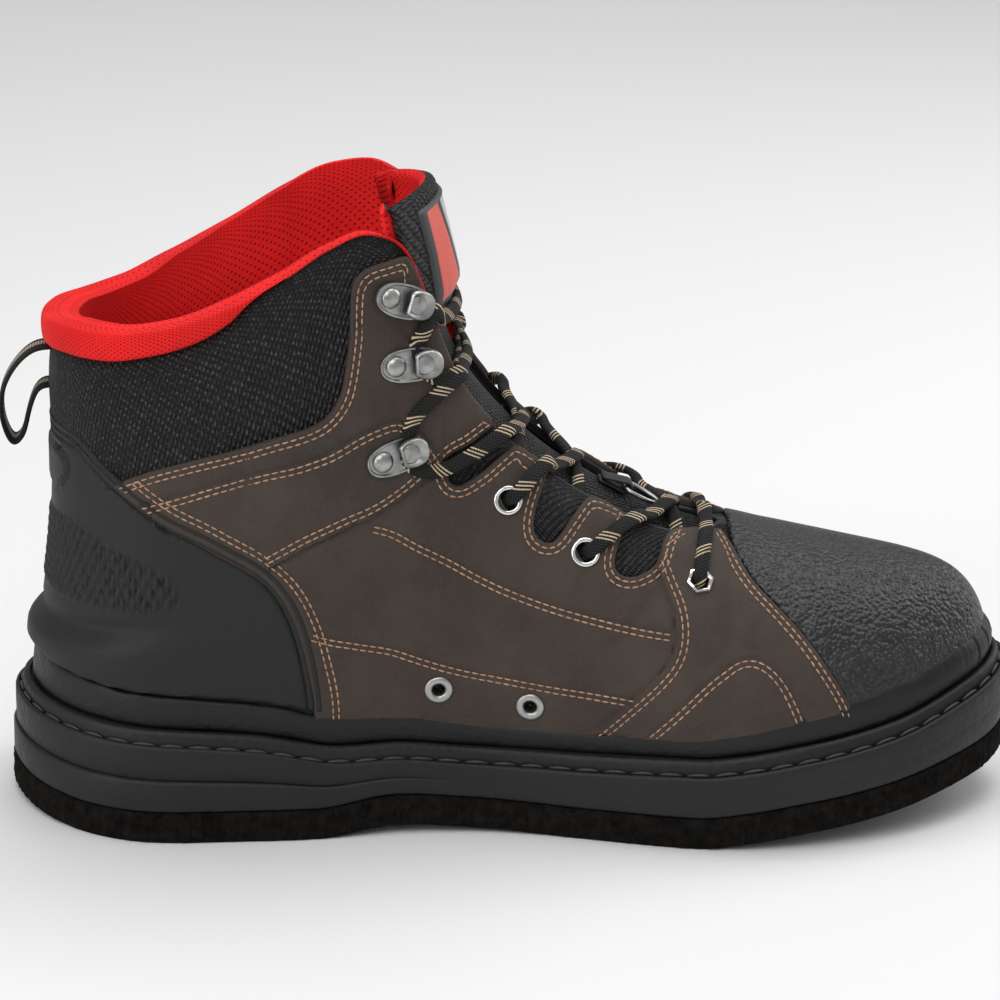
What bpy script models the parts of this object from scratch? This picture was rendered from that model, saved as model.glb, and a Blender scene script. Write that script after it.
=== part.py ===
"""Felt-soled wading boot, left foot, as separate solids.

Metres, +Z up, +X towards the toe, +Y towards the lateral side. The boot is modelled with its
heel at x = 0 and is then moved so that the origin is the middle of its base.
"""
import math

import bmesh
import bpy
import numpy as np
from mathutils import Matrix, Vector

# Driving sizes of the sole
SOLE_LENGTH = 0.320
BALL_WIDTH = 0.114
HEEL_WIDTH = 0.094
TOE_SPRING = 0.018
WAIST_LIFT = 0.0034
HEEL_BEVEL = 0.003
FELT_THICKNESS = 0.010
FELT_EDGE = 0.0008
WALL_HEIGHT = 0.022
WALL_STEP = 0.0008
BEAD_HEIGHT = 0.0045
BEAD_WIDTH = 0.0036
LEDGE_WIDTH = 0.0028
RAND_HEIGHT = 0.012
RAND_THICKNESS = 0.0022
INSOLE_THICKNESS = 0.003

# Driving sizes of the upper
INSTEP_DEPTH = 0.058
COLLAR_RISE = 0.1135
COLLAR_WIDTH = 0.084
SWELL = 0.004
UPPER_WALL = 0.0026
COLLAR_PAD = 0.0062
TONGUE_THICKNESS = 0.005
TONGUE_WIDTH = 0.076
TONGUE_FREE = 0.019
TONGUE_CROWN = 0.0055

# Driving sizes of what is sewn or set on the upper
CAP_THICKNESS = 0.0018
COUNTER_THICKNESS = 0.0016
COUNTER_SHELF = 0.0022
LEATHER_THICKNESS = 0.0014
LABEL_THICKNESS = 0.0010
LOOP_WIDTH = 0.011
LOOP_THICKNESS = 0.0014
LOOP_DROP = 0.031
LOOP_REACH = 0.0158
HOOK_LENGTH = 0.020
HOOK_WIDTH = 0.011
HOOK_HEIGHT = 0.0040
HOOK_PLATE = 0.0009
EYELET_RADIUS = 0.0047
EYELET_HOLE = 0.0031
EYELET_HEIGHT = 0.0009
DRAIN_RADIUS = 0.0045
DRAIN_HOLE = 0.0020
LACE_DIAMETER = 0.0030
LACE_LIFT = 0.0007
RING_LENGTH = 0.0135
RING_WIDTH = 0.0115
RING_WIRE = 0.0015
TAB_LENGTH = 0.009
TAB_WIDTH = 0.0065
TAB_THICKNESS = 0.0012

# Clearances
GAP = 0.0003
INSOLE_PLAY = 0.0007
TONGUE_PLAY = 0.0026
OVERLAY_PLAY = 0.0006
SEAM_PLAY = 0.0010
RING_PLAY = 0.0004
HOOK_PLAY = 0.0008
TAB_PLAY = 0.0008
LACE_PLAY = 0.0025

# Divisions of the meshes
SIDE_STATIONS = 30
OUTER_ROWS = 11
INNER_ROWS = 7
BODY_ROWS = 5
STAY_ROWS = 4
FRONT_RIBS = 6

BALL_SHARE = 0.635
FEATHER_INSET = LEDGE_WIDTH + BEAD_WIDTH + GAP + RAND_THICKNESS + GAP
INSOLE_INSET = FEATHER_INSET + UPPER_WALL + INSOLE_PLAY
BASE_HEIGHT = FELT_THICKNESS + BALL_SHARE * WALL_HEIGHT + BEAD_HEIGHT

# Outline of the sole: share of the length, and each side's half width as a share of the width there
OUTLINE = [
    # x, medial, lateral
    (0.000, 0.000, 0.000),
    (0.008, 0.146, 0.149),
    (0.030, 0.287, 0.291),
    (0.065, 0.408, 0.398),
    (0.125, 0.515, 0.466),
    (0.205, 0.528, 0.486),
    (0.295, 0.512, 0.492),
    (0.385, 0.462, 0.485),
    (0.470, 0.430, 0.478),
    (0.550, 0.447, 0.482),
    (0.630, 0.488, 0.486),
    (0.705, 0.516, 0.484),
    (0.770, 0.514, 0.467),
    (0.830, 0.478, 0.426),
    (0.890, 0.414, 0.362),
    (0.940, 0.326, 0.269),
    (0.975, 0.233, 0.160),
    (0.993, 0.145, 0.052),
    (1.000, 0.043, -0.043),
]

# Underside of the felt: share of the length, then shares of toe spring, waist lift and heel bevel
UNDERSIDE = [
    # x, toe, waist, heel
    (0.00, 0.00, 0.00, 1.00),
    (0.03, 0.00, 0.00, 0.40),
    (0.08, 0.00, 0.00, 0.00),
    (0.30, 0.00, 0.00, 0.00),
    (0.38, 0.00, 1.00, 0.00),
    (0.44, 0.00, 0.60, 0.00),
    (0.52, 0.00, 0.15, 0.00),
    (0.56, 0.00, 0.00, 0.00),
    (0.67, 0.00, 0.00, 0.00),
    (0.72, 0.11, 0.00, 0.00),
    (0.77, 0.26, 0.00, 0.00),
    (0.82, 0.37, 0.00, 0.00),
    (0.87, 0.50, 0.00, 0.00),
    (0.93, 0.71, 0.00, 0.00),
    (0.97, 0.85, 0.00, 0.00),
    (1.00, 1.00, 0.00, 0.00),
]

# Side of the sole: share of the length, height of the wall and of the rand, depth of the heel step
SIDE = [
    # x, wall, rand, step
    (0.000, 1.05, 1.50, 1.00),
    (0.047, 1.05, 1.42, 1.00),
    (0.120, 1.02, 1.27, 1.00),
    (0.234, 0.91, 1.20, 1.00),
    (0.378, 0.54, 1.08, 0.60),
    (0.450, 0.52, 0.98, 0.20),
    (0.575, 0.58, 0.95, 0.00),
    (0.670, 0.63, 1.08, 0.00),
    (0.766, 0.62, 1.17, 0.00),
    (0.870, 0.66, 1.25, 0.00),
    (0.934, 0.76, 1.30, 0.00),
    (1.000, 0.88, 1.30, 0.00),
]

# Top line of the upper, from the heel's back round the collar, down the throat and along the
# ridge to the toe: share of the girth, each side's share of the length and half width as a share
# of the collar's width, share of the instep's depth, and each side's share of the collar's rise
TOP_LINE = [
    # u, x medial, x lateral, medial, lateral, instep, rise medial, rise lateral
    (0.000, 0.045, 0.045, 0.000, 0.000, 1.000, 0.643, 0.643),
    (0.050, 0.051, 0.053, 0.190, 0.184, 1.000, 0.661, 0.636),
    (0.100, 0.070, 0.075, 0.333, 0.318, 1.000, 0.674, 0.632),
    (0.150, 0.106, 0.112, 0.423, 0.425, 1.000, 0.674, 0.648),
    (0.200, 0.156, 0.160, 0.470, 0.505, 1.000, 0.696, 0.706),
    (0.250, 0.212, 0.215, 0.488, 0.530, 1.000, 0.753, 0.790),
    (0.300, 0.272, 0.276, 0.482, 0.530, 1.000, 0.841, 0.897),
    (0.335, 0.312, 0.322, 0.458, 0.510, 1.000, 0.912, 0.961),
    (0.360, 0.344, 0.357, 0.429, 0.488, 1.000, 0.947, 0.975),
    (0.380, 0.369, 0.386, 0.387, 0.452, 1.000, 0.925, 0.945),
    (0.395, 0.383, 0.403, 0.351, 0.405, 1.000, 0.885, 0.889),
    (0.415, 0.398, 0.414, 0.327, 0.357, 1.000, 0.789, 0.789),
    (0.440, 0.414, 0.424, 0.304, 0.327, 1.000, 0.656, 0.656),
    (0.465, 0.434, 0.440, 0.280, 0.304, 1.000, 0.515, 0.520),
    (0.495, 0.469, 0.472, 0.256, 0.274, 1.000, 0.383, 0.388),
    (0.535, 0.522, 0.522, 0.226, 0.238, 1.000, 0.242, 0.251),
    (0.575, 0.575, 0.575, 0.202, 0.208, 1.000, 0.141, 0.150),
    (0.615, 0.622, 0.622, 0.179, 0.179, 1.000, 0.070, 0.075),
    (0.645, 0.662, 0.662, 0.152, 0.152, 1.000, 0.032, 0.032),
    (0.665, 0.688, 0.688, 0.110, 0.110, 1.020, 0.012, 0.012),
    (0.685, 0.704, 0.704, 0.000, 0.000, 1.046, 0.002, 0.002),
    (0.730, 0.745, 0.745, 0.010, -0.010, 0.996, 0.000, 0.000),
    (0.790, 0.788, 0.788, 0.020, -0.020, 0.935, 0.000, 0.000),
    (0.850, 0.831, 0.831, 0.028, -0.028, 0.888, 0.000, 0.000),
    (0.910, 0.867, 0.867, 0.033, -0.033, 0.855, 0.000, 0.000),
    (0.960, 0.891, 0.891, 0.036, -0.036, 0.832, 0.000, 0.000),
    (1.000, 0.900, 0.900, 0.036, -0.036, 0.822, 0.000, 0.000),
]
THROAT_TOP = 0.385
THROAT_BEND = 0.500
THROAT_END = 0.685

# How the ribs are spread round the girth: share of the ribs, share of the girth
RIB_SPREAD = [
    # ribs, u
    (0.000, 0.000),
    (0.367, THROAT_TOP),
    (0.533, THROAT_BEND),
    (0.700, THROAT_END),
    (1.000, 1.000),
]

# Sections of the upper: share of the girth, fullness (1 straight, 2 a quarter ellipse), then the
# swell low on the side and half way up it
SECTIONS = [
    # u, fullness, low, middle
    (0.00, 1.00, 0.00, -0.95),
    (0.10, 1.00, 0.35, -0.85),
    (0.20, 1.05, 0.75, -0.60),
    (0.30, 1.10, 1.00, -0.35),
    (0.40, 1.30, 1.00, 0.00),
    (0.50, 1.60, 1.00, 0.25),
    (0.60, 1.80, 0.75, 0.25),
    (0.70, 1.95, 0.35, 0.00),
    (0.80, 2.15, 0.00, 0.00),
    (1.00, 2.15, 0.00, 0.00),
]

# Top edge of the heel counter: share of the girth, height share
COUNTER_EDGE = [
    # u, v
    (0.000, 0.655),
    (0.060, 0.652),
    (0.108, 0.636),
    (0.133, 0.605),
    (0.160, 0.572),
    (0.206, 0.509),
    (0.260, 0.442),
    (0.305, 0.363),
    (0.323, 0.288),
    (0.334, 0.160),
]

# Heel counter from its foot to its top edge
COUNTER_PROFILE = [
    # height share, thickness share, shelf share
    (0.00, 1.00, 0.00),
    (0.09, 1.00, 0.55),
    (0.13, 1.00, 1.00),
    (0.20, 1.00, 1.00),
    (0.25, 1.00, 0.10),
    (0.60, 1.00, 0.00),
    (0.93, 1.00, 0.00),
    (1.00, 0.55, 0.00),
]

# Rear edge of the toe cap: height share, share of the girth
CAP_EDGE = [
    # v, u
    (0.00, 0.793),
    (0.11, 0.786),
    (0.28, 0.766),
    (0.41, 0.747),
    (0.54, 0.722),
    (0.63, 0.704),
    (0.80, 0.690),
    (1.00, 0.694),
]

# Seams of the quarters, as shares of the height to the counter and of the girth to the toe cap
COUNTER_SEAM = 0.014
CAP_SEAM = 0.004

# Ribs of a leather quarter from rear to front: girth share at the foot, lean ahead at the throat's
# edge, height share of the body's top and of the eyestay's top, and whether the eyestay is cut
# away between this rib and the next
QUARTER = [
    # foot, lean, body, stay, cut
    (0.172, 0.000, 0.578, 0.578, 1),
    (0.205, 0.000, 0.588, 0.588, 1),
    (0.238, 0.000, 0.591, 0.591, 1),
    (0.270, 0.000, 0.589, 0.589, 1),
    (0.300, 0.000, 0.584, 0.584, 1),
    (0.320, 0.000, 0.578, 0.578, 1),
    (0.330, 0.000, 0.579, 0.579, 1),
    (0.340, 0.000, 0.580, 0.580, 1),
    (0.348, 0.000, 0.585, 0.740, 0),
    (0.361, 0.000, 0.580, 0.812, 0),
    (0.375, 0.000, 0.575, 0.840, 0),
    (0.387, 0.000, 0.568, 0.880, 0),
    (0.398, 0.005, 0.560, 0.985, 0),
    (0.411, 0.017, 0.550, 0.985, 0),
    (0.424, 0.036, 0.540, 0.985, 0),
    (0.431, 0.049, 0.537, 0.985, 0),
    (0.437, 0.062, 0.535, 0.985, 1),
    (0.453, 0.061, 0.575, 0.970, 0),
    (0.480, 0.048, 0.570, 0.966, 0),
    (0.507, 0.036, 0.555, 0.985, 1),
    (0.524, 0.048, 0.575, 0.985, 0),
    (0.550, 0.044, 0.580, 0.985, 0),
    (0.574, 0.039, 0.575, 0.985, 1),
    (0.592, 0.039, 0.590, 0.985, 0),
]

# Lace hooks: girth and height share of the rivet, then of the hook's dome
HOOKS = [
    # u rivet, v rivet, u dome, v dome
    (0.378, 0.740, 0.408, 0.808),
    (0.391, 0.635, 0.418, 0.698),
    (0.382, 0.487, 0.404, 0.512),
]

# Eyelets: girth and height share
EYELETS = [
    # u, v
    (0.497, 0.610),
    (0.557, 0.596),
    (0.652, 0.633),
]
DRAINS = [
    # u, v
    (0.434, 0.159),
    (0.509, 0.141),
]

# Pull loop in side view: shares of its reach behind the collar and of its drop
LOOP = [
    # reach, drop
    (0.04, 0.00),
    (0.28, 0.02),
    (0.64, 0.16),
    (0.92, 0.40),
    (1.00, 0.64),
    (0.93, 0.86),
    (0.76, 1.00),
    (0.60, 0.94),
    (0.49, 0.76),
    (0.38, 0.56),
    (0.20, 0.42),
    (0.04, 0.40),
]

# Lace: girth and height share of each turn, on either side, and girth share of the crossing that
# leads to the next turn on the other side. The last crossing is only run by one strand.
LACE_TURNS = [
    # u, v, crossing
    (0.652, 0.633, 0.640),
    (0.557, 0.596, 0.560),
    (0.497, 0.610, 0.522),
    (0.440, 0.600, 0.466),
    (0.453, 0.940, 0.440),
    (0.432, 0.985, 0.432),
]
BAR_RIDGE = 0.668
BAR_TILT = 0.010

# Place of the ring's tab on the ridge: girth share
TAB_PLACE = 0.600

COLLECTION = "wading_boot"
CUTTERS = "wading_boot_tools"


# Curves through tables

def column(table, index):
    """One column of a table, as an array."""
    return np.array([row[index] for row in table], float)


def smooth_step(value, start, end):
    """0 before start, 1 after end, eased between them."""
    share = np.clip((np.asarray(value, float) - start) / (end - start), 0.0, 1.0)
    return share * share * (3.0 - 2.0 * share)


def monotone(knots, values, at):
    """A smooth curve through a table that never swings past its values."""
    knots = np.asarray(knots, float)
    values = np.asarray(values, float)
    at = np.clip(np.asarray(at, float), knots[0], knots[-1])
    step = np.diff(knots)
    slope = np.diff(values) / step
    tangent = np.zeros_like(values)
    tangent[0] = slope[0]
    tangent[-1] = slope[-1]
    for i in range(1, len(values) - 1):
        if slope[i - 1] * slope[i] > 0.0:
            before = 2.0 * step[i] + step[i - 1]
            after = step[i] + 2.0 * step[i - 1]
            tangent[i] = (before + after) / (before / slope[i - 1] + after / slope[i])
    k = np.clip(np.searchsorted(knots, at, side="right") - 1, 0, len(step) - 1)
    share = (at - knots[k]) / step[k]
    rest = 1.0 - share
    return (values[k] * (1.0 + 2.0 * share) * rest ** 2
            + values[k + 1] * (3.0 - 2.0 * share) * share ** 2
            + tangent[k] * step[k] * share * rest ** 2
            - tangent[k + 1] * step[k] * rest * share ** 2)


def mirrored(knots, values, at, sign, toe_sign=1.0):
    """A curve on shares 0 to 1 that runs on smoothly through the heel's and the toe's middle."""
    knots = np.asarray(knots, float)
    values = np.asarray(values, float)
    long_knots = np.concatenate([-knots[2:0:-1], knots, 2.0 - knots[-2:-4:-1]])
    long_values = np.concatenate([sign * values[2:0:-1], values, toe_sign * values[-2:-4:-1]])
    return monotone(long_knots, long_values, at)


def spline_bend(knots, points):
    """Second differences of a natural cubic spline through points."""
    count = len(knots)
    step = np.diff(knots)
    matrix = np.eye(count)
    right = np.zeros_like(points)
    for i in range(1, count - 1):
        matrix[i, i - 1:i + 2] = step[i - 1], 2.0 * (step[i - 1] + step[i]), step[i]
        right[i] = 6.0 * ((points[i + 1] - points[i]) / step[i]
                          - (points[i] - points[i - 1]) / step[i - 1])
    return np.linalg.solve(matrix, right)


def spline_at(knots, points, bend, at):
    """Points of a natural cubic spline at the given places."""
    step = np.diff(knots)
    k = np.clip(np.searchsorted(knots, at, side="right") - 1, 0, len(step) - 1)
    width = step[k][:, None]
    done = (at - knots[k])[:, None]
    left = width - done
    return ((bend[k] * left ** 3 + bend[k + 1] * done ** 3) / (6.0 * width)
            + (points[k] / width - bend[k] * width / 6.0) * left
            + (points[k + 1] / width - bend[k + 1] * width / 6.0) * done)


# Outline and heights of the sole

def width_at(x):
    """Width of the sole at a share of its length, before the outline's shares."""
    return HEEL_WIDTH + (BALL_WIDTH - HEEL_WIDTH) * smooth_step(x, 0.30, 0.70)


def outline_spline():
    """The sole's outline as a closed spline: knots, points, bend, then heel, toe and heel again."""
    x = column(OUTLINE, 0)
    medial = np.column_stack([x * SOLE_LENGTH, -column(OUTLINE, 1) * width_at(x)])
    lateral = np.column_stack([x * SOLE_LENGTH, column(OUTLINE, 2) * width_at(x)])
    loop = np.vstack([medial, lateral[-2:0:-1]])
    wrap = 5
    closed = np.vstack([loop[-wrap:], loop, loop[:wrap + 1]])
    knots = np.concatenate([[0.0], np.cumsum(np.linalg.norm(np.diff(closed, axis=0), axis=1))])
    heel = knots[wrap]
    toe = knots[wrap + len(medial) - 1]
    back = knots[wrap + len(loop)]
    return knots, closed, spline_bend(knots, closed), heel, toe, back


OUTLINE_SPLINE = outline_spline()


def outline_at(side, u, inset):
    """Points of the outline at girth shares u, set in by a distance. side: -1 medial, 1 lateral."""
    knots, points, bend, heel, toe, back = OUTLINE_SPLINE
    u = np.asarray(u, float)
    at = heel + u * (toe - heel) if side < 0 else back - u * (back - toe)
    here = spline_at(knots, points, bend, at)
    nudge = 1e-4 * SOLE_LENGTH
    ahead = (spline_at(knots, points, bend, at + nudge)
             - spline_at(knots, points, bend, at - nudge))
    ahead /= np.linalg.norm(ahead, axis=1)[:, None]
    inward = np.column_stack([-ahead[:, 1], ahead[:, 0]])
    return here + inward * np.asarray(inset, float).reshape(-1, 1), -inward


def floor_height(x):
    """Height of the felt's underside at lengths x."""
    share = x / SOLE_LENGTH
    knots = column(UNDERSIDE, 0)
    return (monotone(knots, column(UNDERSIDE, 1), share) * TOE_SPRING
            + monotone(knots, column(UNDERSIDE, 2), share) * WAIST_LIFT
            + monotone(knots, column(UNDERSIDE, 3), share) * HEEL_BEVEL)


def felt_top(x):
    return floor_height(x) + FELT_THICKNESS


def side_share(x, index):
    return monotone(column(SIDE, 0), column(SIDE, index), x / SOLE_LENGTH)


def ledge_height(x):
    """Height of the wall's top edge."""
    return felt_top(x) + side_share(x, 1) * WALL_HEIGHT


def seat_height(x):
    """Height of the midsole's top, on which upper, rand and insole stand."""
    return ledge_height(x) + BEAD_HEIGHT


def rand_top(x):
    return ledge_height(x) + side_share(x, 2) * RAND_HEIGHT


# Stations round the boot

def stations():
    """Girth shares of the ribs, with one at each end of the throat and more in its bend."""
    count = np.arange(SIDE_STATIONS + 1)
    turns = np.round(column(RIB_SPREAD, 0) * SIDE_STATIONS)
    return np.interp(count, turns, column(RIB_SPREAD, 1))


def loop_points(inset, height):
    """A closed ring of the sole: medial side from heel to toe, lateral side back."""
    u = stations()
    inset = np.broadcast_to(inset, 2 * SIDE_STATIONS)
    medial, _ = outline_at(-1, u, inset[:len(u)])
    lateral, _ = outline_at(1, u[-2:0:-1], inset[len(u):])
    flat = np.vstack([medial, lateral])
    return np.column_stack([flat, height(flat[:, 0])])


def stack_mesh(rings):
    """Faces of a closed body from rings, lowest first, closed by strips across the sole."""
    count = len(rings[0])
    half = count // 2
    faces = []
    for level in range(len(rings) - 1):
        low = level * count
        for k in range(count):
            after = (k + 1) % count
            faces.append((low + k, low + after, low + count + after, low + count + k))
    top = (len(rings) - 1) * count
    for start, up in ((0, False), (top, True)):
        for k in range(half):
            cell = [k, k + 1, (count - k - 1) % count, (count - k) % count]
            for corner in (cell[:3], [cell[0]] + cell[2:]):
                corner = [start + index for index in corner]
                if len(set(corner)) == 3:
                    faces.append(tuple(corner if up else corner[::-1]))
    return np.vstack(rings), faces


# Surface of the upper

def top_point(side, u):
    """Points of the top line on one side."""
    knots = column(TOP_LINE, 0)
    lateral = side > 0
    x = mirrored(knots, column(TOP_LINE, 1 + lateral), u, 1.0) * SOLE_LENGTH
    half = mirrored(knots, column(TOP_LINE, 3 + lateral), u, -1.0) * COLLAR_WIDTH
    instep = mirrored(knots, column(TOP_LINE, 5), u, 1.0) * INSTEP_DEPTH
    rise = mirrored(knots, column(TOP_LINE, 6 + lateral), u, 1.0) * COLLAR_RISE
    return np.column_stack([x, side * half, BASE_HEIGHT + instep + rise])


def upper_point(side, u, v):
    """Points of the upper's outer face: u along the girth, v from the feather line up."""
    u = np.asarray(u, float)
    v = np.asarray(v, float)
    foot, outward = outline_at(side, u, FEATHER_INSET)
    foot = np.column_stack([foot, seat_height(foot[:, 0]) + GAP])
    top = top_point(side, u)
    knots = column(SECTIONS, 0)
    power = 2.0 / mirrored(knots, column(SECTIONS, 1), u, 1.0)
    low = mirrored(knots, column(SECTIONS, 2), u, 1.0) * SWELL
    middle = mirrored(knots, column(SECTIONS, 3), u, 1.0) * SWELL
    angle = v * math.pi / 2.0
    across = 1.0 - np.maximum(np.cos(angle), 0.0) ** power
    rise = np.sin(angle) ** power
    bulge = low * 9.48 * rise * (1.0 - rise) ** 3 + middle * 16.0 * (rise * (1.0 - rise)) ** 2
    point = foot.copy()
    point[:, :2] += (top[:, :2] - foot[:, :2]) * across[:, None] + outward * bulge[:, None]
    point[:, 2] += (top[:, 2] - foot[:, 2]) * rise
    return point


def upper_normal(side, u, v):
    """Outward normals of the outer face, from small steps along it."""
    u = np.asarray(u, float)
    v = np.asarray(v, float)
    step = 2e-3
    before = np.clip(v - step, 0.0, 1.0)
    after = np.clip(v + step, 0.0, 1.0)
    upward = upper_point(side, u, after) - upper_point(side, u, before)
    back = np.clip(u - step, 0.0, 1.0)
    ahead = np.clip(u + step, 0.0, 1.0)
    forward = upper_point(side, ahead, v) - upper_point(side, back, v)
    normal = np.cross(forward, upward) * -side
    normal[(u <= 0.0) | (u >= 1.0), 1] = 0.0
    return normal / np.linalg.norm(normal, axis=1)[:, None]


def skin_point(side, u, v, offset):
    """Points at a distance outside the upper's outer face, or inside it where negative."""
    return upper_point(side, u, v) + upper_normal(side, u, v) * np.reshape(offset, (-1, 1))


def wall_thickness(u, v):
    """Thickness of the upper: a plain wall that swells into the padded collar."""
    collar = smooth_step(v, 0.50, 0.78) * (1.0 - smooth_step(u, 0.27, 0.375))
    return UPPER_WALL + COLLAR_PAD * collar


def height_share(side, u, height):
    """The share v at which each rib reaches a height."""
    low = np.zeros_like(u)
    high = np.ones_like(u)
    for _ in range(30):
        middle = 0.5 * (low + high)
        below = upper_point(side, u, middle)[:, 2] < height
        low = np.where(below, middle, low)
        high = np.where(below, high, middle)
    return 0.5 * (low + high)


# Making objects

def material(name, colour, roughness, metallic=0.0):
    made = bpy.data.materials.new(name)
    made.use_nodes = True
    shader = made.node_tree.nodes["Principled BSDF"]
    shader.inputs["Base Color"].default_value = (*colour, 1.0)
    shader.inputs["Roughness"].default_value = roughness
    shader.inputs["Metallic"].default_value = metallic
    made.diffuse_color = (*colour, 1.0)
    return made


def clean_mesh(mesh, distance=1e-6):
    """Joins points that coincide and turns every face outwards."""
    shape = bmesh.new()
    shape.from_mesh(mesh)
    bmesh.ops.remove_doubles(shape, verts=shape.verts, dist=distance)
    bmesh.ops.dissolve_degenerate(shape, dist=0.1 * distance, edges=shape.edges)
    bmesh.ops.recalc_face_normals(shape, faces=shape.faces)
    if shape.calc_volume(signed=True) < 0.0:
        bmesh.ops.reverse_faces(shape, faces=shape.faces)
    shape.to_mesh(mesh)
    shape.free()


def add_mesh(name, points, faces, finish, sharp=35.0):
    """An object in the boot's collection from points and faces, with its normals facing out."""
    mesh = bpy.data.meshes.new(name)
    mesh.from_pydata([tuple(point) for point in points], [], faces)
    clean_mesh(mesh)
    mesh.materials.append(finish)
    mesh.shade_smooth()
    mesh.set_sharp_from_angle(angle=math.radians(sharp))
    made = bpy.data.objects.new(name, mesh)
    bpy.data.collections[COLLECTION].objects.link(made)
    return made


def slab_mesh(grids, folded=False, present=None):
    """A closed slab between an outer and an inner grid of points with the same layout.

    Only the cells that are present are filled, all of them unless told. A folded slab's last row
    lies on itself, so it gets no edge there.
    """
    outer, inner = grids
    rows, columns = outer.shape[:2]
    size = rows * columns
    if present is None:
        present = np.ones((rows - 1, columns - 1), bool)
    faces = []
    sides = {}
    for i, j in zip(*np.nonzero(present)):
        a = i * columns + j
        cell = (a, a + 1, a + columns + 1, a + columns)
        faces.append(cell)
        faces.append(tuple(size + index for index in cell[::-1]))
        for edge in zip(cell, cell[1:] + cell[:1]):
            if edge[::-1] in sides:
                del sides[edge[::-1]]
            else:
                sides[edge] = True
    last = (rows - 1) * columns
    for here, after in sides:
        if not (folded and here >= last and after >= last):
            faces.append((after, here, size + here, size + after))
    points = np.vstack([outer.reshape(-1, 3), inner.reshape(-1, 3)])
    used = sorted({index for face in faces for index in face})
    number = {index: place for place, index in enumerate(used)}
    return points[used], [tuple(number[index] for index in face) for face in faces]


# Sole

def make_outsole():
    rings = [
        loop_points(FELT_EDGE, floor_height),
        loop_points(0.0, lambda x: floor_height(x) + FELT_EDGE),
        loop_points(0.0, lambda x: felt_top(x) - FELT_EDGE),
        loop_points(FELT_EDGE, felt_top),
    ]
    finish = material("felt", (0.010, 0.008, 0.007), 0.95)
    return add_mesh("outsole", *stack_mesh(rings), finish)


def make_midsole():
    """Moulded wall with a step round the heel, a ledge with a groove each side of a bead."""
    u = stations()
    around = np.concatenate([u, u[-2:0:-1]])
    lip = FELT_EDGE
    groove = 0.0009
    bead = LEDGE_WIDTH + BEAD_WIDTH
    step = WALL_STEP * side_share(loop_points(0.0, felt_top)[:, 0], 3)
    line = 0.48
    plain = np.zeros(len(around))

    def wall(share, extra=0.0):
        return lambda x: felt_top(x) + side_share(x, 1) * WALL_HEIGHT * share + extra

    rings = [
        loop_points(plain + lip, wall(0.0, GAP)),
        loop_points(plain, wall(0.0, GAP + lip)),
        loop_points(plain, wall(line, -0.5 * WALL_STEP)),
        loop_points(plain + step, wall(line, 0.5 * WALL_STEP)),
        loop_points(plain + step, wall(1.0, -lip)),
        loop_points(plain + step + lip, ledge_height),
        loop_points(LEDGE_WIDTH - groove, ledge_height),
        loop_points(LEDGE_WIDTH, wall(1.0, -groove)),
        loop_points(LEDGE_WIDTH + 0.2 * groove, wall(1.0, 0.55 * BEAD_HEIGHT)),
        loop_points(LEDGE_WIDTH + 0.35 * BEAD_WIDTH, wall(1.0, 0.97 * BEAD_HEIGHT)),
        loop_points(bead - groove, seat_height),
        loop_points(bead - 0.3 * groove, wall(1.0, BEAD_HEIGHT - groove)),
        loop_points(bead + 0.6 * groove, seat_height),
        loop_points(INSOLE_INSET, seat_height),
    ]
    finish = material("rubber", (0.020, 0.021, 0.019), 0.55)
    return add_mesh("midsole", *stack_mesh(rings), finish)


def make_insole():
    rings = [
        loop_points(INSOLE_INSET, lambda x: seat_height(x) + GAP),
        loop_points(INSOLE_INSET, lambda x: seat_height(x) + GAP + INSOLE_THICKNESS),
    ]
    finish = material("footbed", (0.03, 0.03, 0.03), 0.9)
    return add_mesh("insole", *stack_mesh(rings), finish)


# Upper and what is built on its surface

def around_grid(u, share, offset):
    """Points round the whole boot at shares v and offsets given for each side's ribs."""
    parts = []
    for side, order in ((-1, slice(None)), (1, slice(-2, 0, -1))):
        here = u[order]
        parts.append(skin_point(side, here, share(side, here), offset(side, here)))
    return np.vstack(parts)


def make_rand():
    """Rubber strip round the foot of the upper, thinner at its top edge."""
    u = stations()

    def share_to_top(part):
        def share(side, here):
            length = upper_point(side, here, np.zeros_like(here))[:, 0]
            base = seat_height(length) + GAP
            return height_share(side, here, base + (rand_top(length) - base) * part)
        return share

    profile = [
        # share of the height, share of the thickness
        (0.00, 1.00),
        (0.45, 1.05),
        (0.88, 0.85),
        (1.00, 0.40),
        (1.00, 0.00),
        (0.50, 0.00),
        (0.00, 0.00),
    ]
    rings = []
    for part, thick in profile:
        reach = GAP + RAND_THICKNESS * thick
        share = share_to_top(part) if part > 0.0 else lambda side, here: np.zeros_like(here)
        rings.append(around_grid(u, share, lambda side, here: np.full(len(here), reach)))
    for ring in (rings[0], rings[-1]):
        ring[:, 2] = seat_height(ring[:, 0]) + GAP
    count = len(rings[0])
    faces = []
    for level in range(len(rings)):
        low = level * count
        high = ((level + 1) % len(rings)) * count
        for k in range(count):
            after = (k + 1) % count
            faces.append((low + k, low + after, high + after, high + k))
    finish = material("rand_rubber", (0.022, 0.023, 0.021), 0.5)
    return add_mesh("rand", np.vstack(rings), faces, finish)


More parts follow.
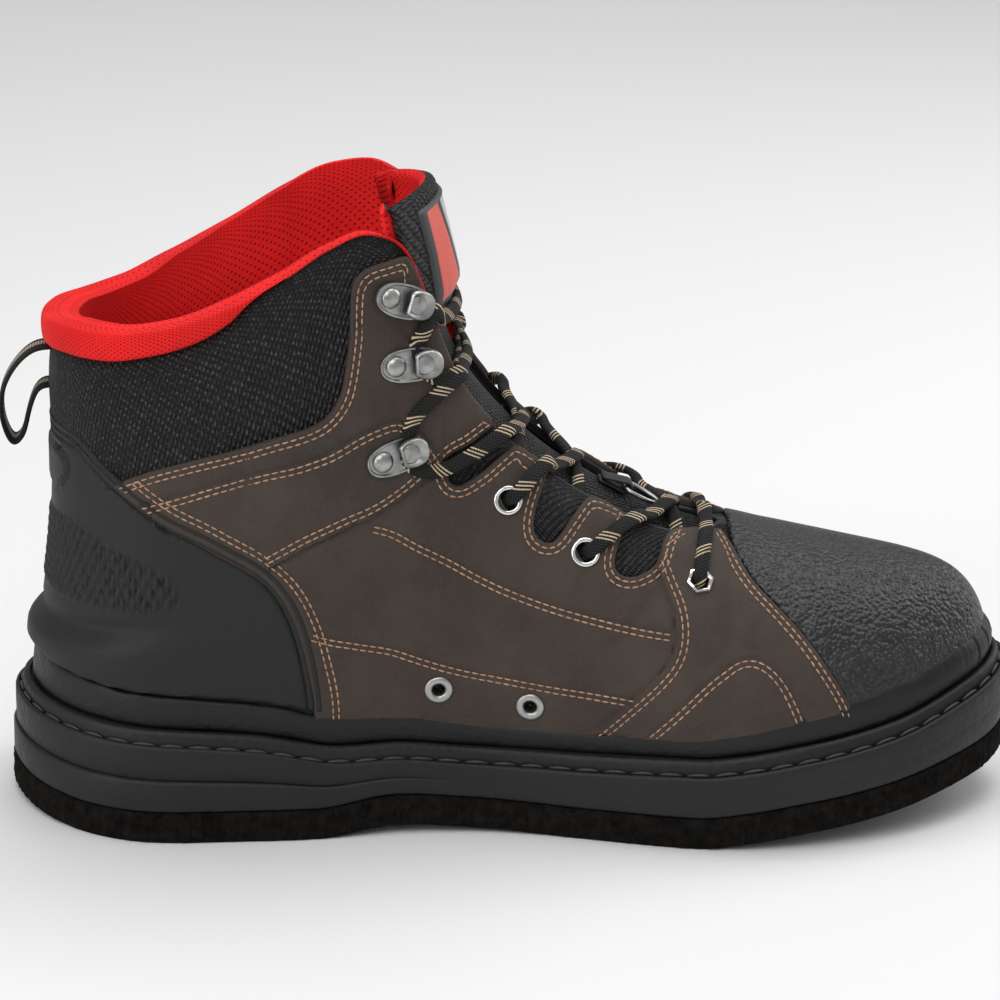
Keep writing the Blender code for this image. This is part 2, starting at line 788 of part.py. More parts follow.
def make_upper():
    """Hollow shell: outer rows, a round rim along collar and throat, inner rows, a flat foot."""
    u = stations()
    count = 2 * SIDE_STATIONS
    around = np.concatenate([u, u[-2:0:-1]])
    up = np.sin(np.linspace(0.0, 1.0, OUTER_ROWS + 1) * math.pi / 2.0) ** 1.15
    outer_rows = list(up)
    inner_rows = list(up[::-1][np.linspace(0, OUTER_ROWS, INNER_ROWS + 1).round().astype(int)])
    points = []
    rows = []

    def add_row(ring):
        rows.append(len(points))
        points.extend(ring)

    def ring_at(v, offset):
        return around_grid(u, lambda side, here: np.full_like(here, v),
                           lambda side, here: offset(here, v))

    def outside(here, share):
        return np.zeros_like(here)

    def inside(here, share):
        return -wall_thickness(here, share)

    def joined(ring):
        """The ring with its two sides brought together along the closed ridge."""
        mirror = ring[(count - np.arange(count)) % count]
        return np.where(closed[:, None], 0.5 * (ring + mirror), ring)

    closed = around >= THROAT_END
    for v in outer_rows[:-1]:
        add_row(ring_at(v, outside))
    outer_top = joined(ring_at(1.0, outside))
    add_row(outer_top)
    below = ring_at(0.985, outside)
    inner_top = joined(ring_at(1.0, inside))
    upward = outer_top - below
    upward /= np.linalg.norm(upward, axis=1)[:, None]
    depth = np.linalg.norm(outer_top - inner_top, axis=1)[:, None]
    for part, lift in ((0.22, 0.36), (0.78, 0.36)):
        crest = outer_top + (inner_top - outer_top) * part + upward * depth * lift
        crest[closed] = (outer_top + (inner_top - outer_top) * part)[closed]
        add_row(crest)
    for v in inner_rows:
        ring = inner_top if v == 1.0 else ring_at(v, inside)
        if v == 0.0:
            ring[:, 2] = np.array(points[:count])[:, 2]
        add_row(ring)

    outer_last = OUTER_ROWS
    inner_first = OUTER_ROWS + 3
    faces = []
    for level in range(len(rows)):
        after_level = (level + 1) % len(rows)
        rim = outer_last <= level < inner_first
        for k in range(count):
            after = (k + 1) % count
            if rim and closed[k] and closed[after]:
                continue
            a, b = rows[level], rows[after_level]
            faces.append((a + k, a + after, b + after, b + k))
    finish = material("mesh_fabric", (0.012, 0.012, 0.012), 0.9)
    return add_mesh("upper", points, faces, finish)


def throat_arch(u):
    """Frame of the arch over the throat at one rib: middle, half gap, upward direction, crown."""
    here = np.array([u])
    edges = [top_point(side, here)[0] for side in (-1, 1)]
    below = [upper_point(side, here, np.array([0.96]))[0] for side in (-1, 1)]
    middle = 0.5 * (edges[0] + edges[1])
    half = 0.5 * np.linalg.norm(edges[1] - edges[0])
    ahead = 0.5 * sum(top_point(side, here + 0.01)[0] - top_point(side, here - 0.01)[0]
                      for side in (-1, 1))
    upward = np.cross(ahead, [0.0, 1.0, 0.0])
    upward /= np.linalg.norm(upward)
    climb = 0.5 * sum((edge - foot) / np.linalg.norm(edge - foot)
                      for edge, foot in zip(edges, below))
    slope = np.dot(climb, upward) / max(abs(climb[1]), 0.3)
    crown = 0.5 * half * np.clip(slope, 0.0, 0.6)
    crown += TONGUE_CROWN * smooth_step(half / COLLAR_WIDTH, 0.0, 0.17)
    return middle, half, upward, crown


def tongue_section(u, across, depth):
    """Points across the tongue at one rib, at distances along the surface from its middle."""
    middle, half, upward, crown = throat_arch(u)
    shares = np.linspace(1.0, 0.3, 141)
    line = np.zeros((len(across), 3))
    reach = np.abs(across)
    over = reach <= half
    arch = crown * (1.0 - (reach[over] / max(half, GAP)) ** 2) - depth
    line[over] = middle + upward * arch[:, None]
    line[over, 1] += across[over]
    for side in (-1, 1):
        under = ~over & (across * side > 0.0)
        rib = upper_point(side, np.full_like(shares, u), shares)
        along = np.concatenate([[0.0], np.cumsum(np.linalg.norm(np.diff(rib, axis=0), axis=1))])
        share = np.interp(reach[under] - half, along, shares)
        if under.any():
            line[under] = skin_point(side, np.full_like(share, u), share, -depth)
    return line


def tongue_grids():
    """Outer and inner points of the tongue, from its free top down, and its columns' shares."""
    low_end = THROAT_END + 0.035
    rows = np.linspace(THROAT_TOP + 0.022, low_end, 13)
    shares = np.linspace(-1.0, 1.0, 11)
    cover = UPPER_WALL + TONGUE_PLAY
    outer = []
    inner = []
    for u in rows:
        part = (low_end - u) / (low_end - rows[0])
        half = 0.5 * TONGUE_WIDTH * (0.55 + 0.45 * smooth_step(part, 0.0, 0.9))
        outer.append(tongue_section(u, shares * half, cover))
        inner.append(tongue_section(u, shares * half, cover + TONGUE_THICKNESS))
    lift = outer[0][5] - outer[1][5]
    lift /= np.linalg.norm(lift)
    for line in (outer, inner):
        first = line[0]
        centre = first[5]
        for reach, narrow in ((0.40, 0.92), (0.75, 0.84), (1.00, 0.66)):
            ring = centre + (first - centre) * [1.0, narrow, 1.0] + lift * TONGUE_FREE * reach
            line.insert(0, ring)
    return np.array(outer), np.array(inner)


def make_tongue():
    """Padded tongue: an arch between the throat's edges whose sides run under the upper."""
    finish = material("tongue_fabric", (0.012, 0.012, 0.012), 0.9)
    return add_mesh("tongue", *slab_mesh(tongue_grids()), finish)


def make_tongue_label():
    """Plain moulded band down the front of the tongue's top."""
    outer, inner = tongue_grids()
    rows = slice(1, 5)
    columns = slice(3, 8)
    away = (outer - inner)[rows, columns]
    away /= np.linalg.norm(away, axis=2)[:, :, None]
    face = outer[rows, columns]
    finish = material("label_rubber", (0.55, 0.08, 0.06), 0.45)
    grids = face + away * (GAP + LABEL_THICKNESS), face + away * GAP
    return add_mesh("tongue_label", *slab_mesh(grids), finish)


def above_rand(side, u, play):
    """The height share just above the rand's top edge."""
    length = upper_point(side, u, np.zeros_like(u))[:, 0]
    return height_share(side, u, rand_top(length) + play)


def counter_top(u):
    return monotone(column(COUNTER_EDGE, 0), column(COUNTER_EDGE, 1), u)


def make_heel_counter():
    """Moulded rubber counter with a shelf above the rand at the back."""
    end = COUNTER_EDGE[-1][0]
    shared = column(QUARTER, 0)
    even = stations()
    half = np.concatenate([even[even < shared[0]], shared[shared < end], [end]])
    outer = []
    inner = []
    for part, thick, shelf in COUNTER_PROFILE:
        lines = [[], []]
        for side, u in ((1, half[::-1]), (-1, half[1:])):
            foot = above_rand(side, u, SEAM_PLAY)
            v = foot + (np.maximum(counter_top(u), foot + 0.02) - foot) * part
            bulge = COUNTER_SHELF * shelf * (1.0 - smooth_step(u, 0.11, 0.25))
            reach = OVERLAY_PLAY + COUNTER_THICKNESS * thick + bulge
            lines[0].append(skin_point(side, u, v, reach))
            lines[1].append(skin_point(side, u, v, np.full_like(u, OVERLAY_PLAY)))
        outer.append(np.vstack(lines[0]))
        inner.append(np.vstack(lines[1]))
    finish = material("counter_rubber", (0.016, 0.017, 0.018), 0.6)
    return add_mesh("heel_counter", *slab_mesh((np.array(outer), np.array(inner))), finish)


def cap_edge(v):
    return monotone(column(CAP_EDGE, 0), column(CAP_EDGE, 1), v)


def make_toe_cap():
    """Cap over the front of the upper, joined over the ridge."""
    columns = np.linspace(0.0, 1.0, 10)
    parts = np.linspace(0.0, 1.0, 9)
    grids = []
    for thick in (CAP_THICKNESS, 0.0):
        rows = []
        for part in parts:
            halves = []
            for side in (-1, 1):
                v = np.full_like(columns, 0.3 + 0.7 * part)
                for _ in range(4):
                    u = cap_edge(v) + (1.0 - cap_edge(v)) * columns
                    foot = above_rand(side, u, SEAM_PLAY)
                    v = foot + (1.0 - foot) * part
                edge = 1.0 - 0.35 * (columns == 0.0)
                halves.append(skin_point(side, u, v, OVERLAY_PLAY + thick * edge))
            rows.append(np.vstack([halves[0], halves[1][-2::-1]]))
        rows[-1] = 0.5 * (rows[-1] + rows[-1][::-1])
        grids.append(np.array(rows))
    finish = material("cap_rubber", (0.042, 0.044, 0.049), 0.65)
    return add_mesh("toe_cap", *slab_mesh(grids, folded=True), finish)


def quarter_rib(side, foot, lean, body, stay, toward_cap):
    """Girth and height shares up one rib of a quarter."""
    start = foot + (cap_edge(0.15) - CAP_SEAM - foot) * toward_cap
    low = above_rand(side, np.array([start]), SEAM_PLAY)[0]
    if foot < COUNTER_EDGE[-1][0]:
        low = max(low, counter_top(foot) + COUNTER_SEAM)
    body = max(body, low + 0.01)
    stay = max(stay, body + 0.01)
    v = np.concatenate([np.linspace(low, body, BODY_ROWS + 1),
                        np.linspace(body, stay, STAY_ROWS + 1)[1:]])
    u = foot + lean * ((v - low) / (1.0 - low)) ** 3
    return u + (cap_edge(v) - CAP_SEAM - u) * toward_cap, v


def make_quarter(name, side):
    """Leather quarter with the eyestay's tabs, from the counter to the toe cap."""
    ribs = [quarter_rib(side, *row[:4], 0.0) for row in QUARTER]
    front = np.linspace(0.0, 1.0, FRONT_RIBS + 1)[1:]
    ribs += [quarter_rib(side, *QUARTER[-1][:4], share) for share in front]
    cut = np.concatenate([column(QUARTER, 4), np.zeros(FRONT_RIBS)])[:-1].astype(bool)
    present = np.ones((len(ribs) - 1, BODY_ROWS + STAY_ROWS), bool)
    present[cut, BODY_ROWS:] = False
    grids = []
    for thick in (LEATHER_THICKNESS, 0.0):
        reach = OVERLAY_PLAY + thick
        grids.append(np.array([skin_point(side, u, v, np.full_like(u, reach)) for u, v in ribs]))
    finish = material(name + "_leather", (0.058, 0.047, 0.040), 0.75)
    return add_mesh(name, *slab_mesh(grids, present=present), finish)


# Small pieces set on the surface

def seat_frame(side, u, v, ahead_u, ahead_v, height):
    """Matrix of a piece at a height over the skin, its X towards another place on the skin."""
    centre = skin_point(side, np.array([u]), np.array([v]), np.array([height]))[0]
    normal = Vector(upper_normal(side, np.array([u]), np.array([v]))[0])
    ahead = Vector(upper_point(side, np.array([ahead_u]), np.array([ahead_v]))[0])
    along = ahead - Vector(upper_point(side, np.array([u]), np.array([v]))[0])
    along = (along - normal * along.dot(normal)).normalized()
    across = normal.cross(along)
    turn = Matrix((along, across, normal)).transposed().to_4x4()
    return Matrix.Translation(centre) @ turn


def place(name, mesh, matrix):
    made = bpy.data.objects.new(name, mesh)
    made.matrix_world = matrix
    bpy.data.collections[COLLECTION].objects.link(made)
    return made


def tool_object(name, mesh):
    """An object that only cuts or joins."""
    made = bpy.data.objects.new(name, mesh)
    made.hide_render = True
    made.display_type = "WIRE"
    bpy.data.collections[CUTTERS].objects.link(made)
    return made


def joined_mesh(name, meshes, finish):
    """One closed mesh from several that overlap."""
    base = tool_object(name + "_base", meshes[0])
    others = []
    for index, mesh in enumerate(meshes[1:]):
        other = tool_object(f"{name}_joined_{index}", mesh)
        union = base.modifiers.new("join", "BOOLEAN")
        union.operation = "UNION"
        union.solver = "EXACT"
        union.object = other
        others.append(other)
    bpy.context.view_layer.update()
    graph = bpy.context.evaluated_depsgraph_get()
    made = bpy.data.meshes.new_from_object(base.evaluated_get(graph))
    made.name = name
    for tool in [base] + others:
        bpy.data.objects.remove(tool, do_unlink=True)
    made.materials.clear()
    made.materials.append(finish)
    made.shade_smooth()
    made.set_sharp_from_angle(angle=math.radians(40.0))
    return made


def round_body(name, segments, radius, top_radius, depth, centre, stretch=(1.0, 1.0)):
    """Mesh of a short cone or cylinder standing on its centre."""
    mesh = bpy.data.meshes.new(name)
    shape = bmesh.new()
    bmesh.ops.create_cone(shape, cap_ends=True, segments=segments, radius1=radius,
                          radius2=top_radius, depth=depth)
    bmesh.ops.scale(shape, verts=shape.verts, vec=(stretch[0], stretch[1], 1.0))
    bmesh.ops.translate(shape, verts=shape.verts,
                        vec=(centre[0], centre[1], centre[2] + 0.5 * depth))
    shape.to_mesh(mesh)
    shape.free()
    return mesh


def hook_mesh():
    """Oval plate with a domed rivet behind and an open hook in front."""
    finish = material("brushed_steel", (0.30, 0.30, 0.29), 0.35, 1.0)
    rivet = 0.30 * HOOK_WIDTH
    post = 0.24 * HOOK_WIDTH
    head = 0.42 * HOOK_WIDTH
    ahead = 0.24 * HOOK_LENGTH
    half = 0.5 * HOOK_WIDTH
    low = 0.5 * HOOK_PLATE
    throat = 0.62 * HOOK_HEIGHT
    meshes = [
        round_body("plate", 12, half, 0.95 * half, HOOK_PLATE, (0.0, 0.0, 0.0),
                   (HOOK_LENGTH / HOOK_WIDTH, 1.0)),
        round_body("rivet", 6, rivet, 0.6 * rivet, 0.55 * HOOK_HEIGHT - low, (-ahead, 0.0, low)),
        round_body("post", 6, post, post, throat - low + GAP, (ahead, 0.0, low)),
        round_body("head", 8, head, 0.7 * head, HOOK_HEIGHT - throat, (ahead, 0.0, throat),
                   (1.05, 0.95)),
    ]
    return joined_mesh("lace_hook", meshes, finish)


def turned_ring(name, radius, hole, height, steps, finish):
    """Ring turned about its own axis, standing on its seat."""
    mesh = bpy.data.meshes.new(name)
    profile = [(radius, 0.0, 0.45 * height), (radius, 0.0, 0.0), (hole, 0.0, 0.0),
               (hole, 0.0, 0.6 * height), (0.5 * (radius + hole), 0.0, height)]
    count = len(profile)
    mesh.from_pydata(profile, [(k, (k + 1) % count) for k in range(count)], [])
    mesh.materials.append(finish)

    def add(node, matrix):
        made = place(node, mesh, matrix)
        turn = made.modifiers.new("turn", "SCREW")
        turn.axis = "Z"
        turn.steps = steps
        turn.render_steps = steps
        turn.use_merge_vertices = True
        turn.merge_threshold = 1e-5
        return made
    return add


def make_hooks_and_eyelets():
    steel = material("eyelet_steel", (0.80, 0.80, 0.80), 0.2, 1.0)
    hook = hook_mesh()
    round_eyelet = turned_ring("eyelet", EYELET_RADIUS, EYELET_HOLE, EYELET_HEIGHT, 9, steel)
    hexagon = turned_ring("hex_eyelet", EYELET_RADIUS, EYELET_HOLE, EYELET_HEIGHT, 6, steel)
    drain = turned_ring("drain", DRAIN_RADIUS, DRAIN_HOLE, EYELET_HEIGHT, 9, steel)
    leather = OVERLAY_PLAY + LEATHER_THICKNESS
    seat = leather + GAP
    for word, side in (("medial", -1), ("lateral", 1)):
        for index, (u_rivet, v_rivet, u_dome, v_dome) in enumerate(HOOKS):
            frame = seat_frame(side, 0.5 * (u_rivet + u_dome), 0.5 * (v_rivet + v_dome),
                               u_dome, v_dome, leather + HOOK_PLAY)
            place(f"hook_{word}_{index + 1}", hook, frame)
        for index, (u, v) in enumerate(EYELETS):
            add = hexagon if index == 2 else round_eyelet
            add(f"eyelet_{word}_{index + 1}", seat_frame(side, u, v, u + 0.02, v, seat))
    for index, (u, v) in enumerate(DRAINS):
        drain(f"drain_eyelet_{index + 1}", seat_frame(-1, u, v, u + 0.02, v, seat))


def make_pull_loop():
    """Webbing loop that hangs from the back of the collar."""
    anchor = upper_point(-1, np.array([0.0]), np.array([0.8]))[0]
    reach = column(LOOP, 0) * LOOP_REACH + GAP + 0.5 * LOOP_THICKNESS
    x = anchor[0] - reach
    z = anchor[2] - column(LOOP, 1) * LOOP_DROP
    line = np.column_stack([x, np.zeros_like(x), z])
    ahead = np.gradient(line, axis=0)
    ahead /= np.linalg.norm(ahead, axis=1)[:, None]
    out = np.column_stack([-ahead[:, 2], np.zeros_like(x), ahead[:, 0]])
    across = np.array([0.0, 0.5 * LOOP_WIDTH, 0.0])
    grids = []
    for sign in (1.0, -1.0):
        face = line + sign * 0.5 * LOOP_THICKNESS * out
        grids.append(np.stack([face - across, face + across], axis=1))
    finish = material("webbing", (0.015, 0.015, 0.015), 0.85)
    return add_mesh("pull_loop", *slab_mesh(grids), finish)


# Lace

def over_throat(u, across, height):
    """A point over the throat at a rib, a signed distance from the middle along the surface.

    Between the edges it lies on the tongue and rises to the given height over the skin.
    """
    middle, half, upward, crown = throat_arch(u)
    reach = abs(across)
    low = LACE_PLAY + 0.5 * LACE_DIAMETER - UPPER_WALL - TONGUE_PLAY
    if reach <= half:
        share = reach / max(half, GAP)
        rise = crown * (1.0 - share ** 2) + low + (height - low) * share ** 2
        return middle + upward * rise + np.array([0.0, across, 0.0])
    return tongue_section(u, np.array([across]), -height)[0]


def reach_of(side, u, v):
    """Distance from the throat's middle, along the surface, of a place on a rib."""
    shares = np.linspace(1.0, v, 40)
    rib = upper_point(side, np.full_like(shares, u), shares)
    return throat_arch(u)[1] + np.linalg.norm(np.diff(rib, axis=0), axis=1).sum()


def lace_strand(first, turns, lift):
    """Route of one strand: half of the lowest bar, then up the throat from side to side."""
    height = (OVERLAY_PLAY + LEATHER_THICKNESS + EYELET_HEIGHT + LACE_PLAY
              + 0.5 * LACE_DIAMETER)
    low_u, low_v, _ = LACE_TURNS[0]
    reach = reach_of(first, low_u, low_v)
    places = []
    for share in (-0.30, 0.0, 0.35, 0.70):
        u = BAR_RIDGE + (low_u - BAR_RIDGE) * abs(share) - BAR_TILT * share
        places.append((u, first * share * reach))
    side = first
    for index, (u, v, crossing) in enumerate(LACE_TURNS[:turns]):
        last = index == turns - 1
        after_u, after_v, _ = LACE_TURNS[min(index + 1, turns - 1)]
        here = side * reach_of(side, u, v)
        places.append((u, here))
        if not last:
            after = -side * reach_of(-side, after_u, after_v)
            places += [(0.5 * (u + crossing), 0.5 * here), (crossing, 0.0),
                       (0.5 * (after_u + crossing), 0.5 * after)]
        side = -side
    up = np.array([0.0, 0.0, lift])
    return [over_throat(u, across, height) + up for u, across in smooth_route(places)]


def smooth_route(places):
    """A denser curve through places given as pairs."""
    places = np.array(places)
    knots = np.arange(len(places), dtype=float)
    at = np.linspace(0.0, knots[-1], round(2.0 * len(places)))
    return np.column_stack([monotone(knots, places[:, 0], at), monotone(knots, places[:, 1], at)])


def tube_mesh(name, route, radius, sides, cyclic=False):
    """Closed mesh of a tube along a route."""
    curve = bpy.data.curves.new(name, "CURVE")
    curve.dimensions = "3D"
    curve.bevel_depth = radius
    curve.bevel_resolution = sides // 2 - 2
    curve.use_fill_caps = not cyclic
    line = curve.splines.new("POLY")
    line.points.add(len(route) - 1)
    line.use_cyclic_u = cyclic
    for point, where in zip(line.points, route):
        point.co = (*where, 1.0)
    tool = tool_object(name + "_line", curve)
    bpy.context.view_layer.update()
    graph = bpy.context.evaluated_depsgraph_get()
    mesh = bpy.data.meshes.new_from_object(tool.evaluated_get(graph))
    bpy.data.objects.remove(tool, do_unlink=True)
    clean_mesh(mesh)
    return mesh


def make_lace_crossings():
    """The lace over the throat: the lowest bar and two strands, joined where they cross."""
    count = len(LACE_TURNS)
    meshes = [
        tube_mesh("strand_medial", lace_strand(-1, count, 0.0), 0.5 * LACE_DIAMETER, 6),
        tube_mesh("strand_lateral", lace_strand(1, count - 1, LACE_LIFT), 0.5 * LACE_DIAMETER, 6),
    ]
    finish = material("lace_braid", (0.014, 0.014, 0.013), 0.8)
    mesh = joined_mesh("lace_crossings", meshes, finish)
    return place("lace_crossings", mesh, Matrix.Identity(4))


# Ring and its tab

def ridge_frame(u, height):
    """Place over the tongue's ridge: point, direction ahead down the ridge, upward direction."""
    middle, half, upward, crown = throat_arch(u)
    ahead = np.array([upward[2], 0.0, -upward[0]])
    return middle + upward * (crown - UPPER_WALL - TONGUE_PLAY + height), ahead, upward


def make_ring_and_tab():
    """Folded webbing tab on the tongue's ridge and the steel wire ring that swings in it."""
    fold = 0.5 * RING_WIRE + RING_PLAY
    seat, ahead, upward = ridge_frame(TAB_PLACE, TAB_PLAY + TAB_THICKNESS + fold)
    across = np.array([0.0, 1.0, 0.0])
    turn = np.linspace(-0.5 * math.pi, 0.5 * math.pi, 7)
    strap = [seat - ahead * TAB_LENGTH * share - upward * (fold + 0.5 * TAB_THICKNESS)
             for share in (1.0, 0.5)]
    strap += [seat + (fold + 0.5 * TAB_THICKNESS) * (ahead * math.cos(t) + upward * math.sin(t))
              for t in turn]
    strap += [seat - ahead * TAB_LENGTH * share
              + upward * (fold - 0.5 * TAB_THICKNESS - (2.0 * fold - 0.5 * GAP) * share * 0.9
                          + TAB_THICKNESS)
              for share in (0.45, 0.9)]
    line = np.array(strap)
    along = np.gradient(line, axis=0)
    along /= np.linalg.norm(along, axis=1)[:, None]
    out = np.cross(across, along)
    grids = []
    for sign in (1.0, -1.0):
        face = line + sign * 0.5 * TAB_THICKNESS * out
        grids.append(np.stack([face - across * 0.5 * TAB_WIDTH, face + across * 0.5 * TAB_WIDTH],
                              axis=1))
    webbing = material("tab_webbing", (0.015, 0.015, 0.015), 0.85)
    add_mesh("ring_tab", *slab_mesh(grids), webbing)

    half_width = 0.5 * (RING_WIDTH - RING_WIRE)
    length = RING_LENGTH - RING_WIRE
    bend = 0.0022
    route = [(0.0, y, 0.0) for y in (-half_width + bend, half_width - bend)]
    arc = np.linspace(0.5 * math.pi, -0.5 * math.pi, 11)
    start = 0.32 * length
    route += [(0.06 * length, half_width, 0.0)]
    route += [(start + (length - start) * math.cos(t), half_width * math.sin(t), 0.0) for t in arc]
    route += [(0.06 * length, -half_width, 0.0)]
    mesh = tube_mesh("ring_wire", route, 0.5 * RING_WIRE, 6, cyclic=True)
    steel = material("ring_steel", (0.45, 0.45, 0.44), 0.25, 1.0)
    mesh.materials.clear()
    mesh.materials.append(steel)
    mesh.shade_smooth()
    turned = Matrix((Vector(ahead), Vector(across), Vector(upward))).transposed().to_4x4()
    place("lace_ring", mesh, Matrix.Translation(seat) @ turned)


def stand_on_origin():
    """Moves every piece so that the origin is the middle of the boot's base."""
    bpy.context.view_layer.update()
    pieces = list(bpy.data.collections[COLLECTION].objects)
    corners = np.array([piece.matrix_world @ Vector(corner)
                        for piece in pieces for corner in piece.bound_box])
    low = corners.min(axis=0)
    high = corners.max(axis=0)
    shift = Vector((-0.5 * (low[0] + high[0]), -0.5 * (low[1] + high[1]), -low[2]))
    for piece in pieces:
        piece.location += shift


def main():
    for old in list(bpy.data.objects):
        bpy.data.objects.remove(old, do_unlink=True)
    for name in (COLLECTION, CUTTERS):
        collection = bpy.data.collections.new(name)
        bpy.context.scene.collection.children.link(collection)
    make_outsole()
    make_midsole()
    make_insole()
    make_rand()
    make_upper()
    make_tongue()
    make_tongue_label()
    make_heel_counter()
    make_toe_cap()
    make_quarter("quarter_medial", -1)
    make_quarter("quarter_lateral", 1)
    make_pull_loop()
    make_hooks_and_eyelets()
    make_lace_crossings()
    make_ring_and_tab()
    stand_on_origin()


main()
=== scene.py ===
"""Felt-soled wading boot, left foot: the looks round the boot's solids.

Metres. The last's surface is worked out as in the solids' source, finer, and every panel, seam,
stitch and lace lies on it. A place on the surface is a girth share t and a height share v: t runs
from 0 at the heel's middle to 1 at the toe on the medial side, and from 0 to -1 on the lateral.
Sizes of single pieces are in metres where they stand, with their meaning beside them.
"""
import math

import bmesh
import bpy
import numpy as np
from bpy.props import FloatProperty, FloatVectorProperty, PointerProperty
from mathutils import Matrix, Vector
from mathutils.geometry import delaunay_2d_cdt


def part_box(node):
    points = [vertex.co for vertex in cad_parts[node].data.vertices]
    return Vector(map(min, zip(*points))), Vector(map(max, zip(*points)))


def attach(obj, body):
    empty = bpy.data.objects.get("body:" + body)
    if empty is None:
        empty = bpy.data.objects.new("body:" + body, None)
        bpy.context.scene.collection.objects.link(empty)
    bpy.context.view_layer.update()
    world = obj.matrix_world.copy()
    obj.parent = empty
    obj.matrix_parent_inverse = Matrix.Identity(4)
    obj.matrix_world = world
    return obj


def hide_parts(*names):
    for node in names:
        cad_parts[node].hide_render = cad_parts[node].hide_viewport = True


bl_info = {
    "name": "Wading boot",
    "version": (1, 0, 0),
    "blender": (4, 5, 0),
    "location": "3D View > Sidebar > Boot",
    "description": "Builds a felt-soled wading boot round its solids",
    "category": "Object",
}

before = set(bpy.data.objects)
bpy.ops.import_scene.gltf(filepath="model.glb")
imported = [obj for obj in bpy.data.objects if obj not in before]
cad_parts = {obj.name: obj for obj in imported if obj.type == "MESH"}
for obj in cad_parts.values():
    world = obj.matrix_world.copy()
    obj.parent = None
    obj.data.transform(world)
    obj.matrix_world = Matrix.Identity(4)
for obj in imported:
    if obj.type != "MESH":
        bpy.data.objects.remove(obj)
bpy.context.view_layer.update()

# Sizes of the last and the sole, as in the solids
SOLE_LENGTH = 0.320
BALL_WIDTH = 0.114
HEEL_WIDTH = 0.094
TOE_SPRING = 0.018
WAIST_LIFT = 0.0034
HEEL_BEVEL = 0.003
FELT_THICKNESS = 0.010
WALL_HEIGHT = 0.022
WALL_STEP = 0.0008
BEAD_HEIGHT = 0.0045
BEAD_WIDTH = 0.0036
LEDGE_WIDTH = 0.0028
RAND_HEIGHT = 0.012
RAND_THICKNESS = 0.0022
INSTEP_DEPTH = 0.058
COLLAR_RISE = 0.1135
COLLAR_WIDTH = 0.084
SWELL = 0.004
UPPER_WALL = 0.0026
COLLAR_PAD = 0.0062
TONGUE_THICKNESS = 0.005
TONGUE_WIDTH = 0.076
TONGUE_FREE = 0.019
TONGUE_CROWN = 0.0055
TONGUE_PLAY = 0.0026
GAP = 0.0003
BALL_SHARE = 0.635
FEATHER_INSET = LEDGE_WIDTH + BEAD_WIDTH + GAP + RAND_THICKNESS + GAP
BASE_HEIGHT = FELT_THICKNESS + BALL_SHARE * WALL_HEIGHT + BEAD_HEIGHT

# Outline of the sole: share of the length, and each side's half width as a share of the width there
OUTLINE = [
    # x, medial, lateral
    (0.000, 0.000, 0.000),
    (0.008, 0.146, 0.149),
    (0.030, 0.287, 0.291),
    (0.065, 0.408, 0.398),
    (0.125, 0.515, 0.466),
    (0.205, 0.528, 0.486),
    (0.295, 0.512, 0.492),
    (0.385, 0.462, 0.485),
    (0.470, 0.430, 0.478),
    (0.550, 0.447, 0.482),
    (0.630, 0.488, 0.486),
    (0.705, 0.516, 0.484),
    (0.770, 0.514, 0.467),
    (0.830, 0.478, 0.426),
    (0.890, 0.414, 0.362),
    (0.940, 0.326, 0.269),
    (0.975, 0.233, 0.160),
    (0.993, 0.145, 0.052),
    (1.000, 0.043, -0.043),
]

# Underside of the felt: share of the length, then shares of toe spring, waist lift and heel bevel
UNDERSIDE = [
    # x, toe, waist, heel
    (0.00, 0.00, 0.00, 1.00),
    (0.03, 0.00, 0.00, 0.40),
    (0.08, 0.00, 0.00, 0.00),
    (0.30, 0.00, 0.00, 0.00),
    (0.38, 0.00, 1.00, 0.00),
    (0.44, 0.00, 0.60, 0.00),
    (0.52, 0.00, 0.15, 0.00),
    (0.56, 0.00, 0.00, 0.00),
    (0.67, 0.00, 0.00, 0.00),
    (0.72, 0.11, 0.00, 0.00),
    (0.77, 0.26, 0.00, 0.00),
    (0.82, 0.37, 0.00, 0.00),
    (0.87, 0.50, 0.00, 0.00),
    (0.93, 0.71, 0.00, 0.00),
    (0.97, 0.85, 0.00, 0.00),
    (1.00, 1.00, 0.00, 0.00),
]

# Side of the sole: share of the length, height of the wall and of the rand, depth of the heel step
SIDE = [
    # x, wall, rand, step
    (0.000, 1.05, 1.50, 1.00),
    (0.047, 1.05, 1.42, 1.00),
    (0.120, 1.02, 1.27, 1.00),
    (0.234, 0.91, 1.20, 1.00),
    (0.378, 0.54, 1.08, 0.60),
    (0.450, 0.52, 0.98, 0.20),
    (0.575, 0.58, 0.95, 0.00),
    (0.670, 0.63, 1.08, 0.00),
    (0.766, 0.62, 1.17, 0.00),
    (0.870, 0.66, 1.25, 0.00),
    (0.934, 0.76, 1.30, 0.00),
    (1.000, 0.88, 1.30, 0.00),
]

